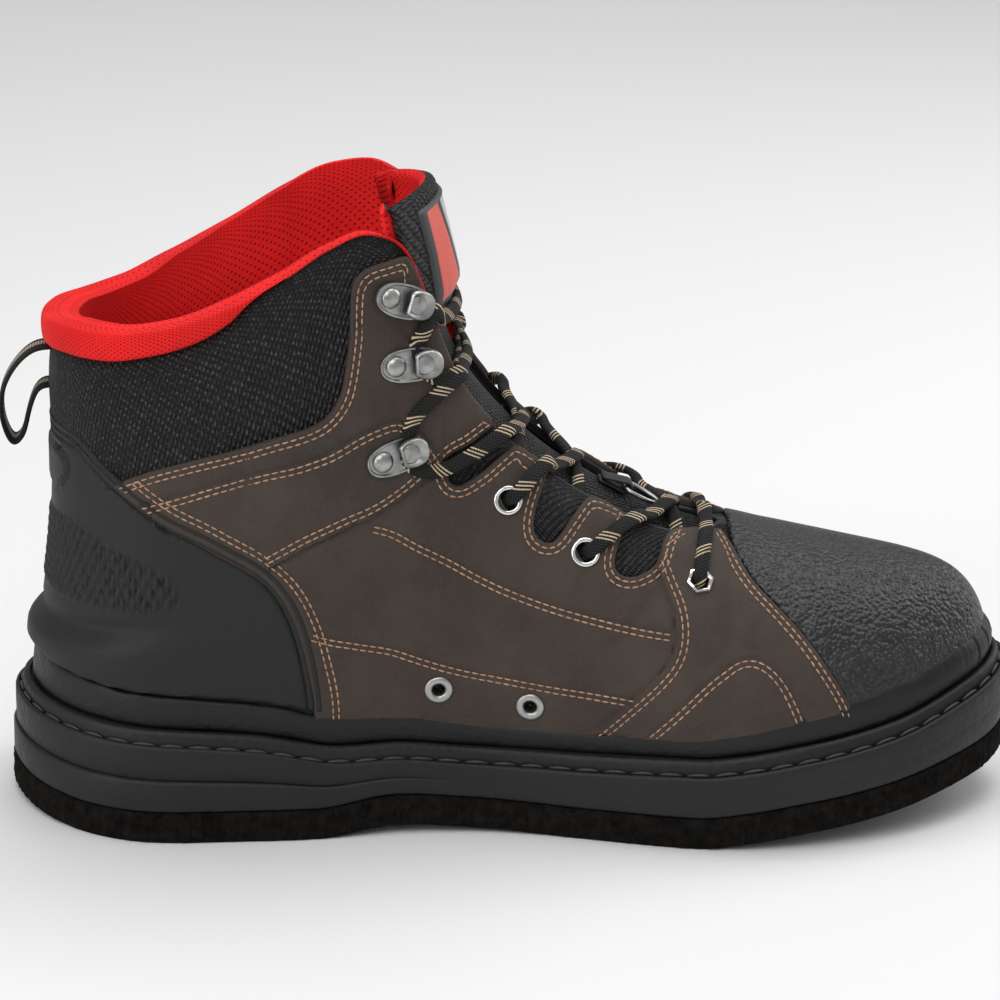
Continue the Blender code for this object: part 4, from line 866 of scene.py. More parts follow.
def slab_faces(rows, columns):
    """Faces of a closed slab: a grid of points, the same grid below it, and its walls."""
    count = rows * columns
    quads = grid_faces(rows, columns)
    loop = ([(0, j) for j in range(columns)] + [(i, columns - 1) for i in range(1, rows)]
            + [(rows - 1, j) for j in range(columns - 2, -1, -1)]
            + [(i, 0) for i in range(rows - 2, 0, -1)])
    ids = [i * columns + j for i, j in loop]
    walls = [(b, a, count + a, count + b) for a, b in zip(ids, ids[1:] + ids[:1])]
    return quads.tolist() + (quads[:, ::-1] + count).tolist() + walls


def measured_map(points):
    """Distances in metres along and up a grid of points, as a map for woven patterns."""
    rows, columns = points.shape[:2]
    middle = points[rows // 2]
    along = travelled(middle)
    up = np.zeros((rows, columns))
    up[1:] = np.cumsum(np.linalg.norm(np.diff(points, axis=0), axis=2), axis=0)
    return np.stack([np.broadcast_to(along, (rows, columns)), up], axis=2)


def paint(made, *finishes):
    for finish in finishes:
        made.data.materials.append(finish)


def settle(made, slot, *nodes, body="boot"):
    """Puts a finished piece on its body, with its slot and the solids that it stands for."""
    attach(made, body)
    if nodes:
        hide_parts(*nodes)
    return made


class Panel:
    """A piece cut to an outline on the surface, with layers, grooves and rounded edges."""

    def __init__(self, outline, thickness, inner, seat=0.0003, edge=0.0007, wave=1.0):
        cell = sizes().cell
        runs = [surface_path(run, 0.8 * cell)[:-1] for run in outline]
        self.boundary = np.vstack(runs)
        self.edge_line = Line(self.boundary)
        self.thickness = thickness
        self.inner = inner
        self.seat = seat
        self.edge = edge
        self.wave = wave
        self.steps = []
        self.grooves = []
        self.extra = []
        self.patterns = []
        self.holes = []

    def add_hole(self, t, v, radius):
        """A round hole through the panel."""
        turn = full_turn(24)
        centre = np.array([t, v])
        tiny = 1e-3
        middle = skin(t, v)[0]
        scale = [np.linalg.norm(skin(t + tiny, v)[0] - middle) / tiny,
                 np.linalg.norm(skin(t, v + tiny)[0] - middle) / tiny]
        circle = centre + radius * np.column_stack([np.cos(turn), np.sin(turn)]) / scale
        self.holes.append(circle)
        self.extra.append(circle)

    def add_step(self, polygon, seam, height):
        """A second layer on the part of the panel inside a polygon, with its edge at a seam."""
        path = surface_path(seam, 0.7 * sizes().cell)
        self.steps.append((np.asarray(polygon), Line(path), height))
        for distance in (-0.00025, 0.00025):
            self.extra.append(beside(path, distance))
        low = beside(path, -0.0005)
        middle = len(low) // 2
        if inside_polygon(low[middle:middle + 1], polygon)[0]:
            low = beside(path, 0.0005)
        self.grooves.append((Line(low), 0.0004, 0.0004))
        self.extra.append(low)

    def add_groove(self, path, depth, width):
        self.grooves.append((Line(path), depth, width))
        for distance in (-1.6 * width, 0.0, 1.6 * width):
            self.extra.append(beside(path, distance))

    def add_pattern(self, function):
        """Any other relief, as a function of t and v."""
        self.patterns.append(function)

    def offset(self, t, v):
        """Height of the panel's face over the upper's surface."""
        places = skin(t, v)
        far = np.clip(self.edge_line.distance(places) / self.edge, 0.0, 1.0)
        height = self.seat + self.thickness * (0.45 + 0.55 * np.sqrt(1.0 - (1.0 - far) ** 2))
        for polygon, line, step in self.steps:
            inside = inside_polygon(np.column_stack([t, v]), polygon)
            away = line.distance(places) * np.where(inside, 1.0, -1.0)
            height += step * smooth_step(away, -0.00022, 0.00022) * (inside | (away > -0.001))
        for line, depth, width in self.grooves:
            height -= depth * np.exp(-(line.distance(places) / width) ** 2)
        for pattern in self.patterns:
            height += pattern(t, v)
        return np.maximum(height + self.wave * folds_at(t, v), self.inner + 0.0002)

    def build(self, name):
        cell = sizes().cell
        flat = np.array([GIRTH, RISE])
        rings = [self.boundary]
        for distance in (0.3 * self.edge, self.edge):
            rings.append(beside(self.boundary, distance, closed=True))
        low = self.boundary.min(axis=0)
        high = self.boundary.max(axis=0)
        t = np.arange(low[0], high[0], cell / GIRTH)
        v = np.arange(low[1], high[1], 0.85 * cell / RISE)
        grid = np.stack(np.meshgrid(t, v, indexing="ij"), axis=2)
        grid[:, ::2] += [0.5 * cell / GIRTH, 0.0]
        grid = grid.reshape(-1, 2)
        grid = grid[inside_polygon(grid, self.boundary)]
        lines = [np.asarray(extra) for extra in self.extra]
        keep = self.edge_line.distance(skin(grid[:, 0], grid[:, 1])) > 1.3 * self.edge
        grid = grid[keep]
        for line in lines:
            near = Line(line).distance(skin(grid[:, 0], grid[:, 1]))
            grid = grid[near > 0.5 * cell]
        inner_rings = []
        for ring in rings[1:] + lines:
            ring = ring[inside_polygon(ring, self.boundary)]
            far = self.edge_line.distance(skin(ring[:, 0], ring[:, 1]))
            inner_rings.append(ring[far > 0.22 * self.edge])
        free = np.vstack(inner_rings + [grid])
        count = len(self.boundary)
        every = np.vstack([self.boundary, free]) * flat
        edges = [(k, (k + 1) % count) for k in range(count)]
        points, _, faces, _, _, _ = delaunay_2d_cdt([Vector(p) for p in every], edges, [], 1, 1e-6)
        places = np.array([tuple(p) for p in points]) / flat
        t, v = places.T
        outer = skin(t, v, self.offset(t, v))
        inner = skin(t, v, self.inner)
        triangles = np.array([face for face in faces if len(face) == 3])
        centres = places[triangles].mean(axis=1)
        for circle in self.holes:
            triangles = triangles[~inside_polygon(centres, circle)]
            centres = places[triangles].mean(axis=1)
        size = len(places)
        rim = {}
        for a, b, c in triangles:
            for edge in ((a, b), (b, c), (c, a)):
                if edge[::-1] in rim:
                    del rim[edge[::-1]]
                else:
                    rim[edge] = True
        walls = [(b, a, size + a, size + b) for a, b in rim]
        faces = triangles.tolist() + (triangles[:, ::-1] + size).tolist() + walls
        uv = np.vstack([places, places]) * flat
        made = mesh_from(name, np.vstack([outer, inner]), faces, uv)
        made.data.set_sharp_from_angle(angle=math.radians(60.0))
        return made


# Stitches

def stitch_shape(pitch, width):
    """One stitch that dips into the leather at its ends, as points and faces."""
    reach = 0.46 * pitch
    half = 0.5 * width
    rings = [(-0.80, 0.55, 0.00), (-0.30, 1.0, 0.25), (0.30, 1.0, 0.25), (0.80, 0.55, 0.00)]
    points = [(-reach, 0.0, -0.6 * half)]
    for along, thick, lift in rings:
        for k in range(5):
            turn = 2.0 * math.pi * k / 5.0 + 0.3
            points.append((along * reach, thick * half * math.cos(turn),
                           half * (thick * math.sin(turn) + lift + 0.1)))
    points.append((reach, 0.0, -0.6 * half))
    faces = [(0, 1 + (k + 1) % 5, 1 + k) for k in range(5)]
    for ring in range(3):
        low = 1 + 5 * ring
        faces += [(low + k, low + (k + 1) % 5, low + 5 + (k + 1) % 5, low + 5 + k)
                  for k in range(5)]
    last = 1 + 5 * 3
    faces += [(last + k, last + (k + 1) % 5, last + 5) for k in range(5)]
    return np.array(points), faces


def laid_stitches(name, shape, faces, middles, ahead, left):
    """One object of many stitches, each at its middle with its own directions."""
    points = []
    every = []
    for place, forward, side in zip(middles, ahead, left):
        start = len(points) * len(shape)
        points.append(place + shape @ np.array([forward, side, np.cross(forward, side)]))
        every += [tuple(start + index for index in face) for face in faces]
    return name, np.vstack(points), every


def sewn(name, seams, pitch, width):
    """Joined stitches along seams. A seam is a path t, v and the function of its height."""
    shape, faces = stitch_shape(pitch, width)
    middles, forwards, sides = [], [], []
    for path, height in seams:
        path = evenly(path, skin(path[:, 0], path[:, 1]), pitch)
        t, v = path.T
        where = skin(t, v, height(t, v))
        ahead = unit(where[1:] - where[:-1])
        middles.append(0.5 * (where[1:] + where[:-1]))
        forwards.append(ahead)
        sides.append(unit(np.cross(skin_normal(t, v)[1:], ahead)))
    laid = laid_stitches(name, shape, faces, np.vstack(middles), np.vstack(forwards),
                         np.vstack(sides))
    made = mesh_from(*laid, recalc=False)
    outward = bmesh.new()
    outward.from_mesh(made.data)
    bmesh.ops.recalc_face_normals(outward, faces=outward.faces)
    outward.to_mesh(made.data)
    outward.free()
    return made


# Materials

class Finish:
    """Short words for building a material's nodes."""

    def __init__(self, name):
        self.material = bpy.data.materials.new(name)
        self.material.use_nodes = True
        self.tree = self.material.node_tree
        self.shader = self.tree.nodes["Principled BSDF"]
        self.coordinates = self.tree.nodes.new("ShaderNodeTexCoord")

    def node(self, kind, **settings):
        made = self.tree.nodes.new(kind)
        for key, value in settings.items():
            if key in made.inputs:
                made.inputs[key].default_value = value
            else:
                setattr(made, key, value)
        return made

    def link(self, source, target):
        self.tree.links.new(source, target)

    def place(self, scale=(1.0, 1.0, 1.0), turn=0.0, uv=False):
        mapping = self.node("ShaderNodeMapping")
        self.link(self.coordinates.outputs["UV" if uv else "Object"], mapping.inputs["Vector"])
        mapping.inputs["Scale"].default_value = scale
        mapping.inputs["Rotation"].default_value = (0.0, 0.0, turn)
        return mapping.outputs["Vector"]

    def noise(self, scale, detail=3.0, where=None, roughness=0.5):
        made = self.node("ShaderNodeTexNoise")
        made.inputs["Scale"].default_value = scale
        made.inputs["Detail"].default_value = detail
        made.inputs["Roughness"].default_value = roughness
        self.link(where or self.coordinates.outputs["Object"], made.inputs["Vector"])
        return made.outputs["Fac"]

    def cells(self, scale, feature="F1", where=None, randomness=1.0):
        made = self.node("ShaderNodeTexVoronoi", feature=feature)
        made.inputs["Scale"].default_value = scale
        made.inputs["Randomness"].default_value = randomness
        self.link(where or self.coordinates.outputs["Object"], made.inputs["Vector"])
        return made.outputs["Distance"]

    def ramp(self, value, *stops):
        made = self.node("ShaderNodeValToRGB")
        ramp = made.color_ramp
        while len(ramp.elements) < len(stops):
            ramp.elements.new(0.5)
        for element, (at, shade) in zip(ramp.elements, stops):
            element.position = at
            element.color = (*shade, 1.0) if isinstance(shade, tuple) else (*[shade] * 3, 1.0)
        self.link(value, made.inputs["Fac"])
        return made.outputs["Color"]

    def math(self, operation, first, second=0.0, third=0.0):
        made = self.node("ShaderNodeMath", operation=operation)
        for slot, value in zip(made.inputs, (first, second, third)):
            if isinstance(value, (int, float)):
                slot.default_value = value
            else:
                self.link(value, slot)
        return made.outputs["Value"]

    def mix(self, share, first, second, blend="MIX"):
        made = self.node("ShaderNodeMix", data_type="RGBA", blend_type=blend)
        for slot, value in ((made.inputs[0], share), (made.inputs[6], first),
                            (made.inputs[7], second)):
            if isinstance(value, (int, float)):
                slot.default_value = value
            elif isinstance(value, bpy.types.NodeSocket):
                self.link(value, slot)
            else:
                slot.default_value = (*value, 1.0)
        return made.outputs[2]

    def bump(self, height, distance, strength=1.0, before=None):
        made = self.node("ShaderNodeBump")
        made.inputs["Distance"].default_value = distance
        made.inputs["Strength"].default_value = strength
        self.link(height, made.inputs["Height"])
        if before is not None:
            self.link(before, made.inputs["Normal"])
        return made.outputs["Normal"]

    def set(self, **inputs):
        words = {"base": "Base Color", "rough": "Roughness", "metal": "Metallic",
                 "normal": "Normal", "specular": "Specular IOR Level", "coat": "Coat Weight",
                 "coat_rough": "Coat Roughness", "sheen": "Sheen Weight",
                 "sheen_rough": "Sheen Roughness"}
        for word, value in inputs.items():
            slot = self.shader.inputs[words[word]]
            if isinstance(value, bpy.types.NodeSocket):
                self.link(value, slot)
            elif isinstance(value, (int, float)):
                slot.default_value = value
            else:
                slot.default_value = (*value, 1.0)
        return self


def scaled(shade, share):
    return tuple(min(1.0, share * part) for part in shade)


FINISHES = {}
# Finishes without a pattern: colour, metal and roughness
PLAIN = {
    "bright": ((0.80, 0.80, 0.79), 1.0, 0.14),
    "dull": ((0.42, 0.42, 0.41), 1.0, 0.38),
    "dark_thread": ((0.03, 0.03, 0.028), 0.0, 0.6),
}


def finish(name):
    """A material by name, built once."""
    if name not in FINISHES:
        made = Finish(name)
        if name in PLAIN:
            base, metal, rough = PLAIN[name]
            made.set(base=base, metal=metal, rough=rough)
        else:
            LOOKS[name](made, colours())
        FINISHES[name] = made.material
    return FINISHES[name]


def finish_leather(f, c):
    cloud = f.noise(38.0, 5.0, roughness=0.62)
    fine = f.noise(900.0, 3.0, roughness=0.7)
    wipe = f.noise(95.0, 4.0, roughness=0.65)
    tone = f.ramp(cloud, (0.34, scaled(c.leather, 0.80)), (0.5, tuple(c.leather)),
                  (0.68, scaled(c.leather, 1.35)))
    tone = f.mix(f.ramp(wipe, (0.55, 0.0), (0.75, 0.45)), tone, scaled(c.leather, 1.5))
    tone = f.mix(f.ramp(fine, (0.35, 0.0), (0.75, 0.30)), tone, scaled(c.leather, 1.7))
    grain = f.bump(f.noise(420.0, 4.0, roughness=0.7), 0.00022)
    normal = f.bump(fine, 0.00010, before=grain)
    normal = f.bump(f.noise(55.0, 3.0), 0.0016, 0.5, before=normal)
    f.set(base=tone, rough=f.ramp(cloud, (0.3, 0.62), (0.7, 0.80)), normal=normal,
          specular=0.28)


def weave_height(f, pitch, turn=0.0, uv=True, stretch=1.0):
    """Rows of round knots, staggered, from the piece's map in metres."""
    where = f.place((1.0 / pitch, stretch / pitch, 1.0), turn, uv)
    split = f.node("ShaderNodeSeparateXYZ")
    f.link(where, split.inputs["Vector"])
    x, y = split.outputs["X"], split.outputs["Y"]
    wave_x = f.math("SINE", f.math("MULTIPLY", x, 2.0 * math.pi))
    wave_y = f.math("SINE", f.math("MULTIPLY", y, 2.0 * math.pi))
    return f.math("MULTIPLY", wave_x, wave_y)


def finish_textile(f, c):
    """Coarse black mesh: shiny knots in staggered rows over a dull ground."""
    knots = weave_height(f, 0.0031, 0.5)
    fine = f.noise(1500.0, 2.0)
    height = f.math("ABSOLUTE", knots)
    # painted glints: random bright specks on the knots, many times the textile's black
    glint = f.math("MULTIPLY", f.ramp(f.noise(900.0, 1.0), (0.50, 0.0), (0.68, 1.0)), height)
    # painted shade between the knots and painted highlights on their tops, from the knots' height
    tone = f.ramp(height, (0.15, scaled(c.textile, 0.2)), (0.6, tuple(c.textile)),
                  (0.95, scaled(c.textile, 3.0)))
    tone = f.mix(glint, tone, scaled(c.textile, 13.0))
    normal = f.bump(height, 0.0011)
    normal = f.bump(fine, 0.0001, before=normal)
    f.set(base=tone, rough=0.62, normal=normal, specular=0.35)


def finish_tongue(f, c):
    knots = weave_height(f, 0.0034, 0.3)
    height = f.math("ABSOLUTE", knots)
    fine = f.noise(1500.0, 2.0)
    # painted shade between the knots and painted highlights on their tops, from the knots' height
    tone = f.ramp(height, (0.15, scaled(c.textile, 0.3)), (0.5, scaled(c.textile, 1.2)),
                  (0.9, scaled(c.textile, 5.0)))
    # painted glints: random bright specks over the mesh
    tone = f.mix(f.ramp(f.noise(900.0, 1.0), (0.52, 0.0), (0.7, 0.7)), tone,
                 scaled(c.textile, 9.0))
    normal = f.bump(height, 0.0012)
    f.set(base=tone, rough=0.65, normal=f.bump(fine, 0.0001, before=normal), specular=0.35)


def finish_lining(f, c):
    """Red spacer mesh with small darker holes in staggered rows."""
    knots = weave_height(f, 0.0026, 0.0, True, 1.3)
    holes = f.ramp(knots, (0.55, 0.0), (0.85, 1.0))
    cloud = f.noise(45.0, 4.0)
    ground = f.ramp(cloud, (0.35, scaled(c.lining, 0.85)), (0.65, scaled(c.lining, 1.08)))
    # painted shade in the holes: the red darkened where the mesh is holed
    tone = f.mix(holes, ground, scaled(c.lining, 0.42))
    height = f.math("SUBTRACT", 1.0, holes)
    normal = f.bump(height, 0.0004)
    normal = f.bump(f.noise(1200.0, 2.0), 0.00008, before=normal)
    f.set(base=tone, rough=0.85, normal=normal, specular=0.25)


def finish_trim(f, c):
    fine = f.noise(700.0, 4.0)
    f.set(base=f.ramp(fine, (0.3, (0.012, 0.012, 0.0125)), (0.7, (0.020, 0.020, 0.021))),
          rough=0.55, normal=f.bump(fine, 0.0001), specular=0.4)


def finish_rubber(f, c):
    """Moulded rubber: satin, mottled and pebbly."""
    cloud = f.noise(55.0, 5.0, roughness=0.6)
    pebble = f.cells(420.0)
    wipe = f.noise(14.0, 4.0)
    tone = f.ramp(cloud, (0.35, scaled(c.rubber, 0.8)), (0.65, scaled(c.rubber, 1.35)))
    tone = f.mix(f.ramp(wipe, (0.5, 0.0), (0.8, 0.5)), tone, scaled(c.rubber, 1.8))
    normal = f.bump(pebble, 0.00025, 0.6)
    normal = f.bump(cloud, 0.0008, 0.5, before=normal)
    f.set(base=tone, rough=f.ramp(cloud, (0.3, 0.45), (0.7, 0.62)), normal=normal, specular=0.36)


def finish_counter(f, c):
    cloud = f.noise(60.0, 4.0)
    fine = f.noise(900.0, 3.0)
    tone = f.ramp(cloud, (0.35, scaled(c.counter, 0.8)), (0.65, scaled(c.counter, 1.25)))
    f.set(base=tone, rough=f.ramp(cloud, (0.3, 0.55), (0.7, 0.68)),
          normal=f.bump(fine, 0.00012), specular=0.42)


def finish_cap(f, c):
    """Pebbled rubber: small round grains, some with a pale worm-like rubbed top."""
    pebble = f.cells(820.0, "SMOOTH_F1")
    worm = f.noise(330.0, 2.0)
    height = f.math("SUBTRACT", 1.0, pebble)
    # painted shade between the grains and painted highlights on their tops, from the pebbles' height
    tone = f.ramp(height, (0.35, scaled(c.cap, 0.55)), (0.75, tuple(c.cap)),
                  (0.95, scaled(c.cap, 1.7)))
    ridge = f.math("ABSOLUTE", f.math("SUBTRACT", worm, 0.5))
    # painted glints: pale worm-like lines over the grains
    tone = f.mix(f.ramp(ridge, (0.0, 0.40), (0.025, 0.0)), tone, scaled(c.cap, 2.4))
    normal = f.bump(height, 0.0009)
    normal = f.bump(worm, 0.0005, 0.7, before=normal)
    f.set(base=tone, rough=0.42, normal=normal, specular=0.5)


def finish_felt(f, c):
    fuzz = f.noise(1100.0, 4.0, roughness=0.75)
    tuft = f.noise(260.0, 5.0, roughness=0.7)
    tone = f.ramp(tuft, (0.35, scaled(c.felt, 0.5)), (0.7, scaled(c.felt, 2.4)))
    normal = f.bump(tuft, 0.0012)
    f.set(base=f.mix(f.ramp(fuzz, (0.55, 0.0), (0.8, 0.6)), tone, scaled(c.felt, 3.4)),
          rough=0.95, normal=f.bump(fuzz, 0.0004, before=normal), specular=0.10)


def finish_steel(f, c):
    streak = f.noise(700.0, 3.0, f.place((0.06, 1.0, 1.0)))
    tone = f.ramp(f.noise(300.0, 3.0), (0.3, scaled(c.steel, 0.7)), (0.7, scaled(c.steel, 1.15)))
    f.set(base=tone, metal=1.0, rough=f.ramp(streak, (0.3, 0.30), (0.7, 0.42)),
          normal=f.bump(streak, 0.00004))


def finish_thread(f, c):
    tone = f.ramp(f.noise(160.0, 3.0), (0.3, scaled(c.thread, 0.75)), (0.7, scaled(c.thread, 1.2)))
    f.set(base=tone, rough=0.6, normal=f.bump(f.noise(3000.0, 2.0), 0.00006))


def stripe_tone(f, across, half, inside, outside):
    edge = f.ramp(f.math("ABSOLUTE", across), (half - 0.02, 1.0), (half + 0.02, 0.0))
    return f.mix(edge, outside, inside)


def map_split(f, scale=(1.0, 1.0, 1.0)):
    split = f.node("ShaderNodeSeparateXYZ")
    f.link(f.place(scale, 0.0, True), split.inputs["Vector"])
    return split.outputs["X"], split.outputs["Y"]


def finish_webbing(f, c):
    """Ribbed webbing, black with a tan stripe in its middle."""
    x, y = map_split(f)
    rib = f.math("SINE", f.math("MULTIPLY", x, 2.0 * math.pi / 0.0009))
    across = f.math("DIVIDE", y, 0.011)
    tone = stripe_tone(f, across, 0.17, (0.50, 0.42, 0.33), (0.010, 0.010, 0.0095))
    # painted shade in the grooves between the ribs
    tone = f.mix(f.ramp(rib, (0.0, 0.5), (1.0, 0.0)), tone, (0.004, 0.004, 0.004))
    f.set(base=tone, rough=0.8, normal=f.bump(rib, 0.00022), specular=0.35)


def finish_lace(f, c):
    """Braided lace: fine herringbone and groups of tan flecks."""
    x, y = map_split(f)
    twist = f.math("ABSOLUTE", y)
    braid = f.math("SINE", f.math("MULTIPLY", f.math("ADD", x, f.math("MULTIPLY", twist, 0.9)),
                                  2.0 * math.pi / 0.00115))
    slant = f.math("ADD", x, f.math("MULTIPLY", y, 0.8))
    group = f.math("FRACT", f.math("DIVIDE", slant, 0.0125))
    inside = f.math("LESS_THAN", group, 0.34)
    fleck = f.math("FRACT", f.math("DIVIDE", group, 0.1134))
    fleck = f.math("MULTIPLY", f.math("LESS_THAN", fleck, 0.42), inside)
    # painted shade in the braid's grooves and painted highlights on its ribs
    tone = f.ramp(braid, (0.0, scaled(c.lace, 0.5)), (1.0, scaled(c.lace, 2.2)))
    tone = f.mix(fleck, tone, tuple(c.fleck))
    f.set(base=tone, rough=0.78, normal=f.bump(braid, 0.0002), specular=0.35)


def finish_label(f, c):
    """Plain bands of a moulded label: grey border, red field, black stripe, pale field."""
    x, y = map_split(f)
    red = (0.66, 0.085, 0.060)
    along = f.math("SUBTRACT", y, f.math("MULTIPLY_ADD", x, 0.16, 0.27))
    tone = f.mix(f.math("GREATER_THAN", along, 0.0), red, (0.47, 0.47, 0.48))
    stripe = f.math("LESS_THAN", f.math("ABSOLUTE", along), 0.035)
    tone = f.mix(stripe, tone, (0.012, 0.012, 0.012))
    side = f.math("ABSOLUTE", f.math("SUBTRACT", y, 0.5))
    end = f.math("ABSOLUTE", f.math("SUBTRACT", x, 0.46))
    border = f.math("MAXIMUM", f.math("GREATER_THAN", side, 0.44),
                    f.math("GREATER_THAN", end, 0.40))
    tone = f.mix(border, tone, (0.040, 0.040, 0.042))
    f.set(base=tone, rough=0.5, normal=f.bump(f.noise(900.0, 2.0), 0.00006))


def finish_footbed(f, c):
    fine = f.noise(800.0, 3.0)
    f.set(base=f.ramp(fine, (0.3, (0.012, 0.012, 0.012)), (0.7, (0.03, 0.03, 0.03))), rough=0.9,
          normal=f.bump(fine, 0.0002))


LOOKS = {
    "leather": finish_leather, "textile": finish_textile, "tongue": finish_tongue,
    "lining": finish_lining, "trim": finish_trim, "rubber": finish_rubber,
    "counter": finish_counter, "cap": finish_cap, "felt": finish_felt,
    "steel": finish_steel, "thread": finish_thread, "webbing": finish_webbing,
    "lace": finish_lace, "label": finish_label, "footbed": finish_footbed,
}


# Sole

def sole_ring(inset, height, ribs):
    """Points round the sole at an inset and a height, both functions of places round it."""
    u = np.linspace(0.0, 1.0, ribs + 1)
    parts = []
    for side, order in ((-1, slice(None)), (1, slice(-2, 0, -1))):
        here = u[order]
        edge, _ = outline_at(side, here, 0.0)
        depth = inset(edge[:, 0], side * here) if callable(inset) else np.full(len(here), inset)
        edge, _ = outline_at(side, here, depth)
        parts.append(np.column_stack([edge, height(edge[:, 0], side * here)]))
    return np.vstack(parts) + SHIFT


def stacked(name, rings, across=True):
    """A solid from rings stacked along a profile, its first and last ring closed across."""
    count = len(rings[0])
    points = np.vstack(rings)
    faces = ring_faces(len(rings), count, not across)
    if across:
        half = count // 2
        for base, flip in ((0, True), ((len(rings) - 1) * count, False)):
            for k in range(half):
                a, b = base + k, base + k + 1
                c, d = base + (count - k - 1) % count, base + (count - k) % count
                face = [a, b, c, d]
                if k == 0:
                    face = [a, b, c]
                elif k == half - 1:
                    face = [a, b, d]
                faces.append(face[::-1] if flip else face)
    gone = travelled(rings[len(rings) // 2])
    level = np.repeat(np.arange(len(rings)) * MILLIMETRE, count)
    uv = np.column_stack([np.tile(gone, len(rings)), level])
    return mesh_from(name, points, faces, uv)


def waves(places, seed, low, high, count=24):
    """A smooth random wave along places from 0 to 1 round the boot, about -1 to 1."""
    random = np.random.default_rng(seed)
    rate = random.integers(low, high, count)
    phase = random.uniform(0.0, 2.0 * math.pi, count)
    total = np.sin(places[:, None] * math.pi * rate + phase).sum(axis=1)
    return total / math.sqrt(0.5 * count)


def build_felt():
    ribs = 700
    bottom = 0.0007
    random = np.random.default_rng(5)

    def fuzzy(depth, tuft):
        def inset(x, place):
            rough = tuft * (0.6 * waves(place, 3, 60, 700) + random.normal(0.0, 0.7, len(x)))
            return depth + np.clip(rough, -0.0006, 0.0006)
        return inset

    def level(share, tuft):
        def height(x, place):
            rough = tuft * random.normal(0.0, 0.7, len(x))
            return floor_height(x) + np.maximum(share * FELT_THICKNESS + rough, 0.0)
        return height

    rings = [sole_ring(0.006, level(0.0, 0.0), ribs), sole_ring(bottom, level(0.0, 0.0), ribs)]
    for share in (0.06, 0.2, 0.35, 0.5, 0.65, 0.8, 0.93):
        rings.append(sole_ring(fuzzy(0.0001, 0.00022), level(share, 0.00010), ribs))
    rings.append(sole_ring(fuzzy(0.0007, 0.0002), level(1.0, 0.0), ribs))
    rings.append(sole_ring(0.006, level(1.0, 0.0), ribs))
    made = stacked("felt_sole", rings)
    paint(made, finish("felt"))
    return [settle(made, "felt", "outsole")]


def build_wall():
    """Moulded wall: lip, fine line, ledge, stitched groove, bead and the groove before the rand."""
    ribs = 420

    def at(share, extra=0.0):
        return lambda x, place: felt_top(x) + side_share(x, 1) * WALL_HEIGHT * share + extra

    def top(extra):
        return lambda x, place: ledge_height(x) + extra

    def deep(inset, follow, heel):
        def depth(x, place):
            step = side_share(x, 3)
            return inset + follow * WALL_STEP * step + heel * step
        return depth

    ledge = LEDGE_WIDTH
    bead = LEDGE_WIDTH + BEAD_WIDTH
    profile = [
        # inset, share of the wall's step that it follows, more at the heel, and the height
        (0.010, 0.0, 0.0, at(0.0, 0.0002)),
        (0.0012, 0.0, 0.0, at(0.0, 0.0002)),
        (0.0005, 0.0, 0.0, at(0.0, 0.0006)),
        (0.0002, 0.0, 0.0, at(0.0, 0.0013)),
        (0.0002, 0.0, 0.0, at(0.25)),
        (0.0002, 0.0, 0.0, at(0.46, -0.0005)),
        (0.0003, 0.3, 0.0, at(0.47)),
        (0.0002, 1.0, 0.0006, at(0.48, 0.0002)),
        (0.0002, 1.0, 0.0001, at(0.49, 0.0007)),
        (0.0002, 1.0, 0.0, at(0.75)),
        (0.0002, 1.0, 0.0, top(-0.0012)),
        (0.0004, 1.0, 0.0, top(-0.0005)),
        (0.0009, 1.0, 0.0, top(-0.0001)),
        (0.0015, 0.6, 0.0, top(0.0)),
        (ledge - 0.0009, 0.0, 0.0, top(-0.0001)),
        (ledge - 0.0002, 0.0, 0.0, top(-0.0010)),
        (ledge + 0.0003, 0.0, 0.0, top(-0.0010)),
        (ledge + 0.0004, 0.0, 0.0, top(0.0002)),
        (ledge + 0.0005, 0.0, 0.0, top(0.5 * BEAD_HEIGHT)),
        (ledge + 0.0010, 0.0, 0.0, top(0.82 * BEAD_HEIGHT)),
        (ledge + 0.0018, 0.0, 0.0, top(0.97 * BEAD_HEIGHT)),
        (bead - 0.0008, 0.0, 0.0, top(0.97 * BEAD_HEIGHT)),
        (bead - 0.0003, 0.0, 0.0, top(0.75 * BEAD_HEIGHT)),
        (bead + 0.0006, 0.0, 0.0, top(0.75 * BEAD_HEIGHT)),
        (bead + 0.0012, 0.0, 0.0, top(BEAD_HEIGHT)),
        (0.014, 0.0, 0.0, top(BEAD_HEIGHT)),
    ]
    rings = [sole_ring(deep(inset, follow, heel), height, ribs)
             for inset, follow, heel, height in profile]
    made = stacked("sole_wall", rings)
    paint(made, finish("rubber"))
    made.data.set_sharp_from_angle(angle=math.radians(50.0))
    return [settle(made, "rubber", "midsole"), build_welt()]


def build_welt():
    """Long stitches in the groove between ledge and bead."""
    ribs = 1200
    line = sole_ring(LEDGE_WIDTH - 0.0001, lambda x, place: ledge_height(x) - 0.0001, ribs)
    line = evenly(line, line, 0.0088)
    shape, faces = stitch_shape(0.0086, 0.0013)
    ahead = unit(line[1:] - line[:-1])
    left = unit(np.cross([0.0, 0.0, 1.0], ahead))
    middles = 0.5 * (line[:-1] + line[1:])
    made = mesh_from(*laid_stitches("welt_stitches", shape, faces, middles, ahead, left))
    paint(made, finish("dark_thread"))
    return settle(made, "thread")


